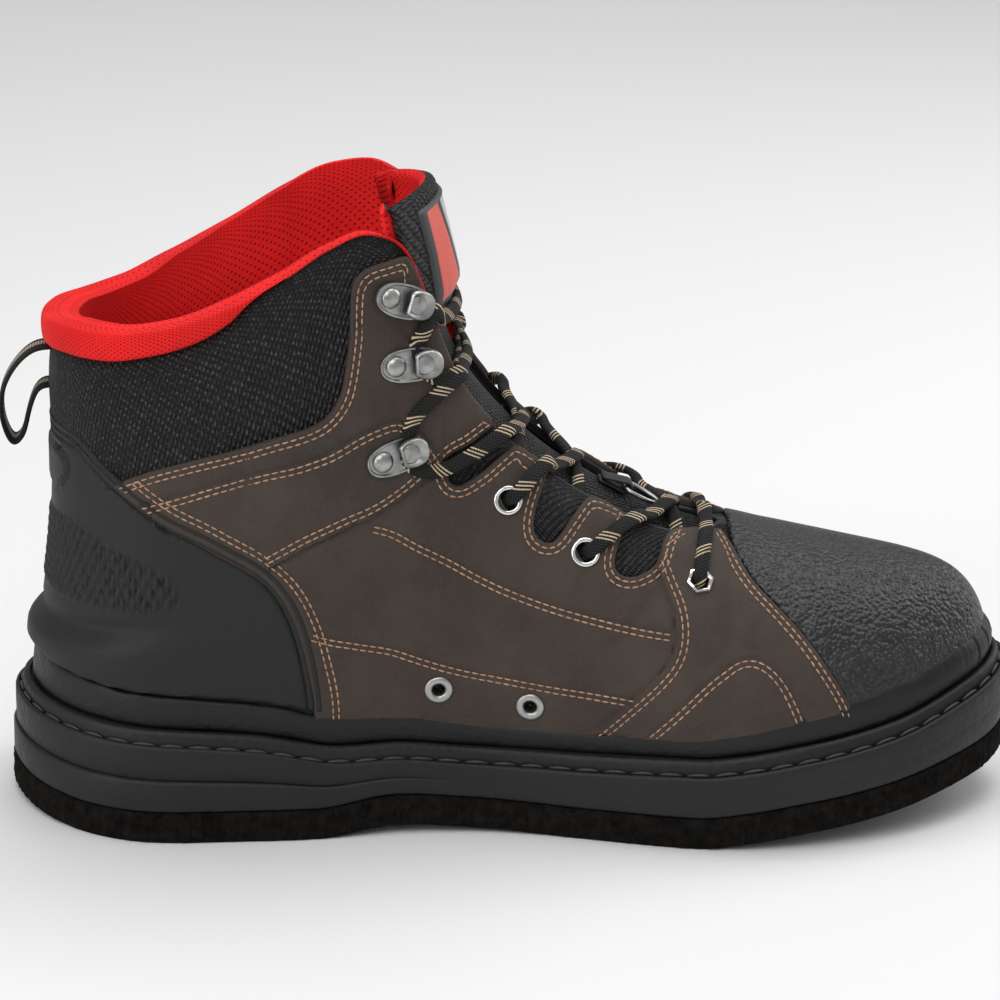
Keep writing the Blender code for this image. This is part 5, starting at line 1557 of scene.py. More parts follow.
def build_rand():
    """Rubber strip round the foot of the upper, rounder and notched by small cuts at the toe."""
    ribs = 520
    profile = [
        # share of the height, share of the thickness
        (0.00, 1.00), (0.12, 1.06), (0.30, 1.08), (0.50, 1.06), (0.70, 1.02), (0.84, 0.94),
        (0.92, 0.82), (0.97, 0.62), (1.00, 0.35), (1.00, 0.00), (0.50, 0.00), (0.00, 0.00),
    ]
    u = np.linspace(0.0, 1.0, ribs + 1)
    rings = []
    for part, thick in profile:
        halves = []
        for side, order in ((-1, slice(None)), (1, slice(-2, 0, -1))):
            here = u[order]
            foot = upper_point(side, here, np.zeros_like(here))[:, 0]
            base = seat_height(foot) + GAP
            height = (rand_top(foot) - base) * part
            height *= 1.0 + 0.015 * waves(side * here, 8, 10, 60)
            v = height_share(side, here, base + height) if part > 0.0 else np.zeros_like(here)
            toe = smooth_step(here, 0.80, 0.93)
            swell = 1.0 + toe * (0.55 * math.sin(math.pi * min(1.0, part * 1.05)))
            reach = GAP + RAND_THICKNESS * thick * (swell if thick > 0.0 else 1.0)
            cut = np.abs(((side * here * GIRTH) / 0.0095) % 1.0 - 0.5) * 0.0095
            cut = np.exp(-(cut / 0.0005) ** 2) * smooth_step(here, 0.90, 0.95)
            reach = reach - cut * 0.0011 * (0.25 < part < 1.0) * (thick > 0.3)
            ring = skin_point(side, here, v, np.broadcast_to(reach, here.shape))
            if part == 0.0:
                ring[:, 2] = seat_height(ring[:, 0]) - 0.0004
            halves.append(ring)
        rings.append(np.vstack(halves) + SHIFT)
    made = stacked("rand_strip", rings, across=False)
    paint(made, finish("rubber"))
    return [settle(made, "rubber", "rand")]


# Upper

def red_edge(u):
    return monotone(column(RED_EDGE, 0), column(RED_EDGE, 1), u)


def shell_offset(u, v, length):
    """Outer and inner offset of the shell at one rib, its rim rolled over to half its wall."""
    wall = wall_thickness(u, v)
    radius = 0.5 * wall
    down = (1.0 - v) * length
    share = np.clip(1.0 - down / radius, 0.0, 1.0)
    tuck = radius * (1.0 - np.sqrt(np.maximum(0.0, 1.0 - share ** 2)))
    open_rim = u < THROAT_END
    tuck = np.where(open_rim, tuck, 0.0)
    collar = 1.0 - smooth_step(u, 0.25, 0.33)
    edge = red_edge(u)
    roll = (v - edge) / np.maximum(1.0 - edge, 1e-3)
    bulge = 0.0030 * collar * np.sqrt(np.clip(1.0 - (2.0 * np.clip(roll, 0.0, 1.0) - 0.8) ** 2
                                              / 1.44, 0.0, 1.0)) * (roll > 0.0)
    below = (edge - v) / 0.30
    puff = 0.0016 * collar * np.sin(np.pi * np.clip(below, 0.0, 1.0)) * (below > 0.0)
    piping = smooth_step(u, 0.29, 0.36) * (1.0 - smooth_step(u, 0.465, 0.480))
    bulge = bulge + 0.0011 * piping * smooth_step(v, 0.945, 0.965)
    seam = 0.0012 * np.exp(-(((v - edge) * length) / 0.0013) ** 2) * (u < 0.30)
    outer = -tuck + (bulge + puff) * (1.0 - share) - seam
    inner = -wall + tuck
    return outer, inner


def build_shell():
    """Textile shell with padded collar: black mesh, red collar roll and lining, dark throat trim."""
    ribs = 300
    rows = 110
    t = np.concatenate([np.linspace(-1.0, 0.0, ribs, endpoint=False),
                        np.linspace(0.0, 1.0, ribs, endpoint=False)])
    _, u = fold_over(t)
    count = len(t)
    split = 70
    edge = red_edge(u)
    low_share = np.linspace(0.0, 1.0, split + 1)[:, None]
    high_share = np.sin(np.linspace(0.0, 0.5 * math.pi, rows - split))[1:, None]
    up = np.vstack([low_share * edge, edge + high_share * (1.0 - edge)])
    length = np.zeros(count)
    steps = np.linspace(0.0, 1.0, 12)
    for low, high in zip(steps, steps[1:]):
        length += np.linalg.norm(skin(t, high) - skin(t, low), axis=1)
    mirror = (count - np.arange(count)) % count
    closed = u >= THROAT_END
    outer_rows = []
    inner_rows = []
    for here in up:
        outer, inner = shell_offset(u, here, length)
        outer = outer + folds_at(t, here) * (here < 0.97)
        for rows_list, offset in ((outer_rows, outer), (inner_rows, inner)):
            ring = skin(t, here, offset)
            if here[0] >= 1.0:
                ring[closed] = 0.5 * (ring + ring[mirror])[closed]
            rows_list.append(ring)
    foot = outer_rows[0][:, 2].copy()
    inner_rows[0][:, 2] = foot
    rings = outer_rows + inner_rows[::-1]
    points = np.vstack(rings)
    faces = []
    kinds = []
    k = np.arange(count)
    after = (k + 1) % count
    shut = closed & closed[after]
    for level in range(len(rings)):
        low = level * count
        high = ((level + 1) % len(rings)) * count
        quads = np.column_stack([low + k, low + after, high + after, high + k])
        trim = (u > TRIM_START) & (split <= level < 2 * rows - 40)
        if level == rows - 1:
            quads = quads[~shut]
            kind = np.where(u > TRIM_START, 2, 1)[~shut]
        else:
            kind = np.where(trim, 2, 1 if level >= split else 0)
        faces += quads.tolist()
        kinds += kind.tolist()
    level_length = np.vstack([up, 2.0 - up[::-1]]) * RISE
    around = np.tile(np.concatenate([np.arange(ribs) - ribs, np.arange(ribs)]) / ribs * GIRTH,
                     len(rings))
    uv = np.column_stack([around, level_length.ravel()])
    made = mesh_from("textile_shell", points, faces, uv, kinds=kinds)
    paint(made, finish("textile"), finish("lining"), finish("trim"))
    return [settle(made, "fabric", "upper")]


def above_rand(u, play):
    foot = upper_point(-1, u, np.zeros_like(u))[:, 0]
    return height_share(-1, u, rand_top(foot) + play)


COUNTER_FOOT = [(-0.337, 0.020), (-0.20, 0.020), (0.0, 0.020), (0.20, 0.020), (0.337, 0.020)]
COUNTER_SIDE = [(0.337, 0.020), (0.336, 0.160), (0.323, 0.290), (0.305, 0.363), (0.283, 0.409),
                (0.260, 0.442), (0.236, 0.474), (0.206, 0.509), (0.184, 0.538), (0.159, 0.572),
                (0.133, 0.605), (0.108, 0.636), (0.060, 0.652)]
COUNTER_OUTLINE = [COUNTER_FOOT, COUNTER_SIDE + [(0.0, 0.655)] + turned_over(COUNTER_SIDE)]
PATCH = [(0.0, 0.487), (0.091, 0.490), (0.148, 0.464), (0.190, 0.431), (0.213, 0.395),
         (0.219, 0.374), (0.205, 0.354), (0.172, 0.352), (0.125, 0.357), (0.065, 0.355),
         (0.0, 0.355)]
PAD = [(0.0, 0.612), (0.042, 0.609), (0.079, 0.597), (0.086, 0.572), (0.066, 0.541),
       (0.0, 0.532)]
SHELF = [(0.0, 0.290), (0.091, 0.302), (0.147, 0.312), (0.193, 0.316), (0.221, 0.318),
         (0.242, 0.313)]


def build_counter():
    """Moulded heel counter: border with two grooves, textured patch, plain oval, shelf."""
    panel = Panel(COUNTER_OUTLINE, 0.0016, 0.0001, seat=0.0004, edge=0.0009, wave=0.5)
    top_edge = surface_path(COUNTER_OUTLINE[1], 0.8 * sizes().cell)
    for distance in (0.0024, 0.0047):
        panel.add_groove(beside(top_edge, distance), 0.0009, 0.00055)

    def whole(table, spacing):
        """Polygon and line of a shape given by its one half."""
        path = surface_path(table, spacing)
        return np.array(table + turned_over(table)), Line(np.vstack([path, path * [-1.0, 1.0]]))

    patch, patch_line = whole(PATCH, MILLIMETRE)
    pad, pad_line = whole(PAD, 0.0006)

    fine = np.stack(np.meshgrid(np.arange(-0.22, 0.22, 0.0015), np.arange(0.35, 0.495, 0.0055)),
                    axis=2).reshape(-1, 2)
    panel.extra.append(fine[inside_polygon(fine, patch)])
    ribs = np.linspace(0.0, 0.34, 60)
    rand_line = above_rand(ribs, 0.0004)

    def relief(t, v):
        places = skin(t, v)
        flat = np.column_stack([t, v])
        inside = inside_polygon(flat, patch)
        far = patch_line.distance(places)
        a = np.abs(t) * GIRTH * 0.9
        b = v * RISE
        grid = (np.abs(np.sin((a + b) * math.pi / 0.0040)) ** 0.5
                * np.abs(np.sin((a - b) * math.pi / 0.0040)) ** 0.5)
        height = np.where(inside, -0.0006 + 0.0013 * grid, 0.0) * smooth_step(far, 0.0, 0.0008)
        inside = inside_polygon(flat, pad)
        far = pad_line.distance(places)
        height += np.where(inside, 0.0008 * smooth_step(far, 0.0, 0.0009), 0.0)
        height -= 0.0008 * np.exp(-(far / 0.0008) ** 2)
        u = np.abs(t)
        line = np.interp(u, column(SHELF, 0), column(SHELF, 1))
        fade = 1.0 - smooth_step(u, 0.13, 0.26)
        below = (line - v) * RISE
        height += 0.0036 * fade * smooth_step(below, -0.0008, 0.0045) * (
            1.0 - 0.4 * smooth_step(below, 0.006, 0.014))
        height -= 0.0012 * fade * np.exp(-((below + 0.0010) / 0.0013) ** 2)
        behind = (np.interp(u, ribs, rand_line) - v) * RISE
        return height - 0.006 * smooth_step(behind, -0.0012, 0.0006)

    panel.add_pattern(relief)
    made = panel.build("counter_cover")
    paint(made, finish("counter"))
    return [settle(made, "counter_rubber", "heel_counter")]


def build_leather(side):
    """Leather quarter of one side with its layers, and the stitches of its seams."""
    word = "medial" if side < 0 else "lateral"
    flip = (lambda runs: runs) if side < 0 else (
        lambda runs: [turned_over(run) for run in runs[::-1]])
    turn = (lambda seam: seam) if side < 0 else turned_over
    sign = 1.0 if side < 0 else -1.0
    s = sizes()
    panel = Panel(flip(LEATHER_OUTLINE), s.leather, 0.0002)
    front = FRONT_SEAM + [(0.90, 0.0), (0.90, 1.2), (0.64, 1.2)]
    panel.add_step([(sign * t, v) for t, v in front], turn(FRONT_SEAM), s.overlap)
    upper_part = SEAM_QUARTER + [(0.27, 0.46), (0.27, 0.70), (0.44, 0.70)]
    panel.add_step([(sign * t, v) for t, v in upper_part], turn(SEAM_QUARTER), s.overlap)
    for seam in (SEAM_SIDE, SEAM_LOW):
        panel.add_groove(surface_path(turn(seam), MILLIMETRE), 0.00035, 0.00045)
    panel.add_groove(surface_path(turn(SEAM_ANKLE), MILLIMETRE), 0.0005, 0.00045)
    arc = surface_path(turn(FRONT_ARC), MILLIMETRE)
    panel.add_groove(arc, 0.0004, 0.00045)
    for u, v in EYELETS:
        panel.add_hole(sign * u, v, 0.0031)
    if side < 0:
        for u, v in DRAINS:
            panel.add_hole(u, v, 0.0021)
    height = panel.offset
    rows = []

    def sew(path, low=0.05):
        good = inside_polygon(path, panel.boundary) & (path[:, 1] > low)
        good &= panel.edge_line.distance(skin(path[:, 0], path[:, 1])) > 0.0009
        breaks = np.flatnonzero(np.diff(good.astype(int))) + 1
        for part, fine in zip(np.split(path, breaks), np.split(good, breaks)):
            if fine[0] and len(part) > 6:
                rows.append((part, height))

    first, gap = s.seam_inset, s.row_gap

    edges = [(run[::-1], 1.0, first) for run in (COLLAR_EDGE, CAP_SEAM_LINE, FLAP_FRONT,
                                                 TAB_ONE, TAB_TWO, TAB_THREE)]
    seams = [(REAR_EDGE[::-1], 1.0, 0.0058), *edges, (FRONT_SEAM, 1.0, first),
             (SEAM_ANKLE, 1.0, 0.0012), (SEAM_QUARTER, -1.0, first), (SEAM_SIDE, -1.0, 0.0008),
             (SEAM_LOW, -1.0, 0.0008), (FRONT_ARC, -1.0, 0.0008)]
    for seam, toward, begin in seams:
        path = surface_path(turn(seam), MILLIMETRE)
        for distance in (begin, begin + gap):
            sew(beside(path, toward * distance))
    for path, _ in rows:
        panel.add_groove(path, 0.00022, 0.00050)
    made = panel.build(f"leather_{word}")
    paint(made, finish("leather"))
    settle(made, "leather", f"quarter_{word}")
    thread = sewn(f"seams_{word}", rows, s.stitch_pitch, s.stitch_width)
    paint(thread, finish("thread"))
    settle(thread, "thread")
    return [made, thread]


def build_cap():
    """Pebbled toe cap over the front of the upper."""
    rows = 90
    columns = 150
    across = np.linspace(-1.0, 1.0, 2 * columns + 1)
    v = 1.0 - np.abs(across)
    side = np.where(across < 0.0, -1, 1)
    edge = cap_edge(v)
    share = np.linspace(0.0, 1.0, rows) ** 1.1
    layers = []
    thick = 0.0016
    for outer in (True, False):
        grid = np.empty((rows, len(across), 3))
        for i, s in enumerate(share):
            u = edge + (1.0 - edge) * s
            back = s * (1.0 - edge) * GIRTH
            foot = v * RISE
            round_edge = np.clip(np.minimum(back, foot + 0.002) / 0.0009, 0.0, 1.0)
            lift = 0.0004 + thick * (0.4 + 0.6 * np.sqrt(1.0 - (1.0 - round_edge) ** 2))
            lift = lift if outer else np.full(len(v), 0.0001)
            for word in (-1, 1):
                pick = side == word
                grid[i, pick] = skin_point(word, u[pick], np.maximum(v[pick], 0.02), lift[pick])
        middle = columns
        mirror = grid[:, ::-1].copy()
        grid[:, middle, 1] = 0.5 * (grid[:, middle - 1, 1] + grid[:, middle + 1, 1])
        grid[-1] = 0.5 * (grid[-1] + mirror[-1])
        layers.append(grid + SHIFT)
    count = rows * len(across)
    outer, inner = (layer.reshape(-1, 3) for layer in layers)
    quads = grid_faces(rows, len(across))
    faces = quads.tolist() + (quads[:, ::-1] + count).tolist()
    wide = len(across)
    for a in range(wide - 1):
        faces.append((a + 1, a, count + a, count + a + 1))
    for i in range(rows - 1):
        a, b = i * wide, (i + 1) * wide
        faces.append((a, b, count + b, count + a))
        a, b = a + wide - 1, b + wide - 1
        faces.append((b, a, count + a, count + b))
    made = mesh_from("toe_cap_cover", np.vstack([outer, inner]), faces)
    paint(made, finish("cap"))
    return [settle(made, "cap_rubber", "toe_cap")]


# Tongue

def tongue_rows():
    """Outer and inner points of the tongue, from its free top down."""
    low_end = THROAT_END + 0.035
    rows = np.linspace(THROAT_TOP + 0.022, low_end, 90)
    shares = np.linspace(-1.0, 1.0, 61)
    cover = UPPER_WALL + TONGUE_PLAY
    outer = []
    inner = []
    for u in rows:
        part = (low_end - u) / (low_end - rows[0])
        half = 0.5 * TONGUE_WIDTH * (0.55 + 0.45 * smooth_step(part, 0.0, 0.9))
        outer.append(tongue_section(u, shares * half, cover - 0.0004))
        inner.append(tongue_section(u, shares * half, cover + TONGUE_THICKNESS))
    middle = len(shares) // 2
    lift = unit(outer[0][middle] - outer[1][middle])
    for line in (outer, inner):
        first = line[0]
        centre = first[middle]
        for reach in np.linspace(0.06, 1.0, 16):
            narrow = 1.0 - 0.20 * reach ** 4.0
            line.insert(0, centre + (first - centre) * [1.0, narrow, 1.0]
                        + lift * TONGUE_FREE * reach)
    return np.array(outer) + SHIFT, np.array(inner) + SHIFT


def build_tongue():
    """Padded tongue, black mesh in front and red behind, with rounded edges."""
    outer, inner = tongue_rows()
    rows, columns = outer.shape[:2]
    middle = 0.5 * (outer + inner)
    side = np.abs(np.linspace(-1.0, 1.0, columns))
    down = travelled(outer[:, columns // 2])
    edge = np.minimum((1.0 - side)[None, :] * 0.5 * TONGUE_WIDTH, down[:, None])
    share = np.clip(edge / 0.0030, 0.0, 1.0)
    fat = 0.06 + 0.94 * np.sqrt(1.0 - (1.0 - share) ** 2)
    outer = middle + (outer - middle) * fat[:, :, None]
    inner = middle + (inner - middle) * fat[:, :, None]
    points = np.vstack([outer.reshape(-1, 3), inner.reshape(-1, 3)])
    faces = slab_faces(rows, columns)
    front = (rows - 1) * (columns - 1)
    kinds = [0] * front + [1] * front + [0] * (len(faces) - 2 * front)
    uv = measured_map(outer).reshape(-1, 2)
    made = mesh_from("tongue_cover", points, faces, np.vstack([uv, uv]), kinds=kinds)
    paint(made, finish("tongue"), finish("lining"))
    return [settle(made, "fabric", "tongue"), build_label()]


def build_label():
    outer, inner = tongue_rows()
    away = unit(outer - inner)
    rows = slice(4, 27)
    columns = slice(13, 48)
    face = outer[rows, columns]
    away = away[rows, columns]
    count_rows, count_columns = face.shape[:2]
    i, j = np.meshgrid(np.linspace(0, 1, count_rows), np.linspace(0, 1, count_columns),
                       indexing="ij")
    border = (np.abs(j - 0.5) > 0.40) | (np.abs(i - 0.5) > 0.44)
    edge = np.minimum(np.minimum(i, 1 - i) * 3.0, np.minimum(j, 1 - j) * 2.0)
    height = 0.0006 + 0.0006 * np.clip(edge / 0.12, 0.0, 1.0) - 0.0003 * ~border
    top = face + away * height[:, :, None]
    low = face - away * 0.0003
    faces = slab_faces(count_rows, count_columns)
    uv = np.stack([i, j], axis=2).reshape(-1, 2)
    points = np.vstack([top.reshape(-1, 3), low.reshape(-1, 3)])
    made = mesh_from("label_bands", points, faces, np.vstack([uv, uv]))
    paint(made, finish("label"))
    return settle(made, "label", "tongue_label")


# Webbing, metal and lace

def ribbon(name, line, across, width, thickness, segments=10):
    """A ribbon with rounded edges along a line, its width along the given directions."""
    line = np.asarray(line)
    across = unit(np.asarray(across) * np.ones((len(line), 1)))
    ahead = unit(np.gradient(line, axis=0))
    up = unit(np.cross(ahead, across))
    across = np.cross(up, ahead)
    turn = full_turn(segments)
    x = np.sign(np.cos(turn)) * np.abs(np.cos(turn)) ** 0.75
    y = np.sign(np.sin(turn)) * np.abs(np.sin(turn)) ** 0.75
    rings = (line[:, None] + across[:, None] * (0.5 * width * x)[None, :, None]
             + up[:, None] * (0.5 * thickness * y)[None, :, None])
    count = len(line)
    gone = travelled(line)
    faces = ring_faces(count, segments)
    faces.append(tuple(range(segments))[::-1])
    faces.append(tuple((count - 1) * segments + k for k in range(segments)))
    uv = np.stack([np.repeat(gone, segments), np.tile(0.5 * width * x, count)], axis=1)
    return mesh_from(name, rings.reshape(-1, 3), faces, uv)


def build_loop():
    """Pull loop: ribbed webbing with a tan stripe, sewn to the back of the collar."""
    reach_scale, drop, thick, wide = 0.0158, 0.031, 0.0016, 0.011
    anchor = upper_point(-1, np.array([0.0]), np.array([0.8]))[0]
    reach = column(LOOP, 0) * reach_scale
    points = np.column_stack([anchor[0] - reach, np.zeros(len(reach)),
                              anchor[2] - column(LOOP, 1) * drop])
    points[0] = points[0] + [0.0035, 0.0, 0.0]
    points[-1] = points[-1] + [0.0035, 0.0, 0.0]
    line = curve_through(points, 10) + SHIFT
    made = ribbon("loop_webbing", line, (0.0, 1.0, 0.0), wide, thick, 12)
    paint(made, finish("webbing"))
    return [settle(made, "webbing", "pull_loop")]


def seat_frame(side, u, v, ahead_u, ahead_v, height):
    """Matrix of a piece at a height over the skin, its X towards another place on the skin."""
    centre = skin_point(side, np.array([u]), np.array([v]), np.array([height]))[0] + SHIFT
    normal = Vector(upper_normal(side, np.array([u]), np.array([v]))[0])
    ahead = Vector(upper_point(side, np.array([ahead_u]), np.array([ahead_v]))[0])
    along = ahead - Vector(upper_point(side, np.array([u]), np.array([v]))[0])
    along = (along - normal * along.dot(normal)).normalized()
    across = normal.cross(along)
    turn = Matrix((along, across, normal)).transposed().to_4x4()
    return Matrix.Translation(centre) @ turn


def placed(name, mesh, matrix, slot, node):
    """A copy of a mesh set down by a matrix, with its own data."""
    own = mesh.copy()
    own.transform(matrix)
    made = new_object(name, own)
    return settle(made, slot, node)


def turned_mesh(profile, segments):
    """A closed body turned about its axis from a profile of radius and height pairs."""
    turn = full_turn(segments)
    rings = [np.column_stack([r * np.cos(turn), r * np.sin(turn), np.full(segments, z)])
             for r, z in profile]
    return np.vstack(rings), ring_faces(len(rings), segments, True)


def joined(name, parts):
    points = []
    faces = []
    for part_points, part_faces in parts:
        start = sum(len(p) for p in points)
        points.append(part_points)
        faces += [tuple(start + index for index in face) for face in part_faces]
    mesh = bpy.data.meshes.new(name)
    mesh.from_pydata(np.vstack(points).tolist(), [], faces)
    tidy_mesh(mesh, merge=1e-7)
    return mesh


def shaped(rings, segments=44):
    """A closed body of stacked outlines: centre, half length, half width, flat rear, height."""
    turn = full_turn(segments)
    c, s = np.cos(turn), np.sin(turn)
    x = np.sign(c) * np.abs(c) ** 0.85
    y = np.sign(s) * np.abs(s) ** 0.85
    points = []
    for centre, half_length, half_width, flat, height in rings:
        along = np.maximum(x, -1.0 + flat)
        points.append(np.column_stack([centre + half_length * along, half_width * y,
                                       np.full(segments, height)]))
    return np.vstack(points), ring_faces(len(rings), segments, True)


def hook_mesh():
    """Oval plate with a raised rim, a domed rivet behind and an open D-shaped hook in front."""
    plate = shaped([
        (0.0, 0.0, 0.0, 0.0, -0.0002), (0.0, 0.0099, 0.0053, 0.0, -0.0002),
        (0.0, 0.0101, 0.0055, 0.0, 0.0004), (0.0, 0.0099, 0.0053, 0.0, 0.0010),
        (0.0, 0.0094, 0.0048, 0.0, 0.0010), (0.0, 0.0090, 0.0044, 0.0, 0.0005),
        (0.0, 0.0, 0.0, 0.0, 0.0005)])
    rivet = turned_mesh([(0.0, 0.0002), (0.0033, 0.0002), (0.0033, 0.0010), (0.0030, 0.0015),
                         (0.0022, 0.0021), (0.0011, 0.0024), (0.0, 0.0025)], 32)
    rivet[0][:, 0] -= 0.0048
    post = shaped([
        (0.0055, 0.0, 0.0, 0.0, 0.0002), (0.0055, 0.0030, 0.0032, 0.2, 0.0002),
        (0.0055, 0.0028, 0.0030, 0.2, 0.0024), (0.0055, 0.0, 0.0, 0.0, 0.0024)])
    head = shaped([
        (0.0048, 0.0, 0.0, 0.0, 0.0021), (0.0048, 0.0046, 0.0040, 0.22, 0.0021),
        (0.0048, 0.0051, 0.0046, 0.20, 0.0027), (0.0048, 0.0050, 0.0045, 0.20, 0.0034),
        (0.0048, 0.0046, 0.0041, 0.22, 0.0038), (0.0046, 0.0040, 0.0036, 0.24, 0.0036),
        (0.0040, 0.0029, 0.0029, 0.20, 0.0030), (0.0038, 0.0026, 0.0026, 0.20, 0.0033),
        (0.0038, 0.0, 0.0, 0.0, 0.0034)])
    return joined("lace_hook", [plate, rivet, post, head])


def build_metal():
    """Six lace hooks, six eyelets and two drain eyelets."""
    s = sizes()
    leather = 0.0003 + s.leather
    hook = hook_mesh()
    hook.materials.append(finish("steel"))
    eyelet_profile = [(0.0031, -0.0012), (0.0047, -0.0004), (0.0047, 0.0003), (0.0044, 0.0008),
                      (0.0038, 0.0010), (0.0033, 0.0007), (0.0030, 0.0001)]
    drain_profile = [(0.0020, -0.0012), (0.0045, -0.0004), (0.0045, 0.0002), (0.0041, 0.0006),
                     (0.0030, 0.0008), (0.0023, 0.0005), (0.0020, -0.0002)]
    meshes = {}
    for key, profile, segments, look in (("round", eyelet_profile, 40, "bright"),
                                         ("hex", eyelet_profile, 6, "bright"),
                                         ("drain", drain_profile, 36, "dull")):
        mesh = joined(key, [turned_mesh(profile, segments)])
        if segments == 6:
            mesh.set_sharp_from_angle(angle=math.radians(35.0))
        mesh.materials.append(finish(look))
        meshes[key] = mesh
    hook.set_sharp_from_angle(angle=math.radians(45.0))
    made = []
    for word, side in (("medial", -1), ("lateral", 1)):
        for index, (u_rivet, v_rivet, u_dome, v_dome) in enumerate(HOOKS):
            back, down, angle = HOOK_NUDGES[index]
            place = seat_frame(side, 0.5 * (u_rivet + u_dome) - back,
                               0.5 * (v_rivet + v_dome) - down, u_dome - back, v_dome - down,
                               leather + 0.0010)
            place = place @ Matrix.Rotation(math.radians(-side * angle), 4, "Z")
            made.append(placed(f"lace_hook_{word}_{index + 1}", hook, place, "steel",
                               f"hook_{word}_{index + 1}"))
        for index, (u, v) in enumerate(EYELETS):
            mesh = meshes["hex" if index == 2 else "round"]
            made.append(placed(f"lace_eyelet_{word}_{index + 1}", mesh,
                               seat_frame(side, u, v, u + 0.02, v, leather + 0.0002
                                          + 0.0008 * (index == 2)),
                               "steel", f"eyelet_{word}_{index + 1}"))
    for index, (u, v) in enumerate(DRAINS):
        made.append(placed(f"drain_{index + 1}", meshes["drain"],
                           seat_frame(-1, u, v, u + 0.02, v, leather + 0.0002), "steel",
                           f"drain_eyelet_{index + 1}"))
    return made


def ridge_point(u, height):
    middle, _, upward, crown = throat_arch(u)
    return middle + upward * (crown - UPPER_WALL - TONGUE_PLAY + height) + SHIFT, upward


def lace_place(side, u, v, height):
    """Point over the leather, and the outward direction there."""
    point = skin_point(side, np.array([u]), np.array([v]), np.array([height]))[0] + SHIFT
    return point, upper_normal(side, np.array([u]), np.array([v]))[0]


def route_points(word, stops):
    """Points and outward directions of a lace's stops. R is the ridge, M and L the sides."""
    points = []
    normals = []
    for kind, u, v, height in stops:
        if kind == "R":
            point, normal = ridge_point(u, height)
            point = point + np.array([0.0, v, 0.0])
        else:
            side = -1 if (kind == "M") == (word == "A") else 1
            point, normal = lace_place(side, u, v, height)
        if kind == "R" and word == "B":
            point = point * [1.0, -1.0, 1.0] + [0.0, 2.0 * SHIFT[1], 0.0]
        points.append(point)
        normals.append(normal)
    return np.array(points), np.array(normals)


# Where the hooks sit on the leather against the solids: girth share, height share and degrees
HOOK_NUDGES = [(0.002, 0.010, 3.0), (0.002, 0.008, 11.0), (0.001, -0.006, 5.0)]

# Height of a strand over or under the middle where the two cross
CROSSING_LIFT = 0.0011

LACE_STOPS = [
    # kind, girth share, height share or place across, height in metres. The first half of the
    # lowest bar, then each crossing to the other side. M and L change places for the other strand.
    [("R", 0.666, 0.0, 0.0058), ("M", 0.664, 1.0, 0.0030), ("M", 0.662, 0.93, 0.0034),
     ("M", 0.656, 0.77, 0.0034), ("M", 0.652, 0.650, 0.0024), ("M", 0.651, 0.625, -0.0014)],
    [("M", 0.648, 0.80, -0.0045), ("M", 0.645, 0.97, -0.0040), ("R", 0.637, -0.0004, 0.0030),
     ("L", 0.618, 1.0, 0.0022), ("L", 0.612, 0.94, 0.0033), ("L", 0.590, 0.79, 0.0032),
     ("L", 0.563, 0.62, 0.0022), ("L", 0.557, 0.594, -0.0014)],
    [("L", 0.566, 0.80, -0.0045), ("L", 0.567, 0.97, -0.0040), ("R", 0.558, 0.0004, 0.0030),
     ("M", 0.540, 1.0, 0.0022), ("M", 0.534, 0.94, 0.0033), ("M", 0.518, 0.76, 0.0032),
     ("M", 0.502, 0.635, 0.0022), ("M", 0.496, 0.61, -0.0014)],
    [("M", 0.512, 0.84, -0.0045), ("M", 0.517, 0.97, -0.0040), ("R", 0.516, -0.0002, 0.0030),
     ("L", 0.507, 1.0, 0.0022), ("L", 0.503, 0.93, 0.0033), ("L", 0.490, 0.787, 0.0032),
     ("L", 0.458, 0.607, 0.0030),
     ("L", 0.427, 0.520, 0.0026), ("L", 0.404, 0.505, 0.0026), ("L", 0.403, 0.545, 0.0028),
     ("L", 0.410, 0.585, 0.0030), ("L", 0.425, 0.642, 0.0032), ("L", 0.449, 0.775, 0.0034),
     ("L", 0.462, 0.92, 0.0034), ("L", 0.465, 1.0, 0.0024), ("R", 0.466, 0.0002, 0.0030),
     ("M", 0.464, 1.0, 0.0024), ("M", 0.462, 0.94, 0.0034), ("M", 0.456, 0.860, 0.0034),
     ("M", 0.436, 0.725, 0.0030), ("M", 0.418, 0.690, 0.0026), ("M", 0.409, 0.715, 0.0026),
     ("M", 0.415, 0.758, 0.0030), ("M", 0.424, 0.86, 0.0034), ("M", 0.432, 0.95, 0.0036),
     ("M", 0.437, 1.0, 0.0026), ("R", 0.440, -0.0002, 0.0030), ("L", 0.436, 1.0, 0.0026),
     ("L", 0.430, 0.95, 0.0034), ("L", 0.422, 0.86, 0.0032)],
]


def build_laces():
    """Two strands from the lowest bar up to the top hooks, crossing on the tongue."""
    s = sizes()
    made = []
    # Each strand passes over the other at every second crossing
    for word in ("A", "B"):
        for index, stops in enumerate(LACE_STOPS):
            points, normals = route_points(word, stops)
            if index > 0:
                lift = CROSSING_LIFT * (1.0 if (word == "A") == (index % 2 == 0) else -1.0)
                for k, stop in enumerate(stops):
                    if stop[0] == "R":
                        points[k] += normals[k] * lift
            both = curve_through(np.hstack([points, normals]), 12)
            line, normal = both[:, :3], unit(both[:, 3:])
            ahead = unit(np.gradient(line, axis=0))
            across = unit(np.cross(normal, ahead))
            name = f"lace_{word}_{index + 1}"
            piece = ribbon(name, line, across, s.lace_width, s.lace_thickness, 12)
            paint(piece, finish("lace"))
            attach(piece, "boot")
            if word == "A" and index == 0:
                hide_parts("lace_crossings")
            made.append(piece)
    return made


# Tab: girth share on the ridge, play over the tongue, thickness, and half the gap of its fold
TAB_PLACE = 0.600
TAB_PLAY = 0.0008
TAB_THICK = 0.0012
TAB_FOLD = 0.5 * 0.0015 + 0.0004


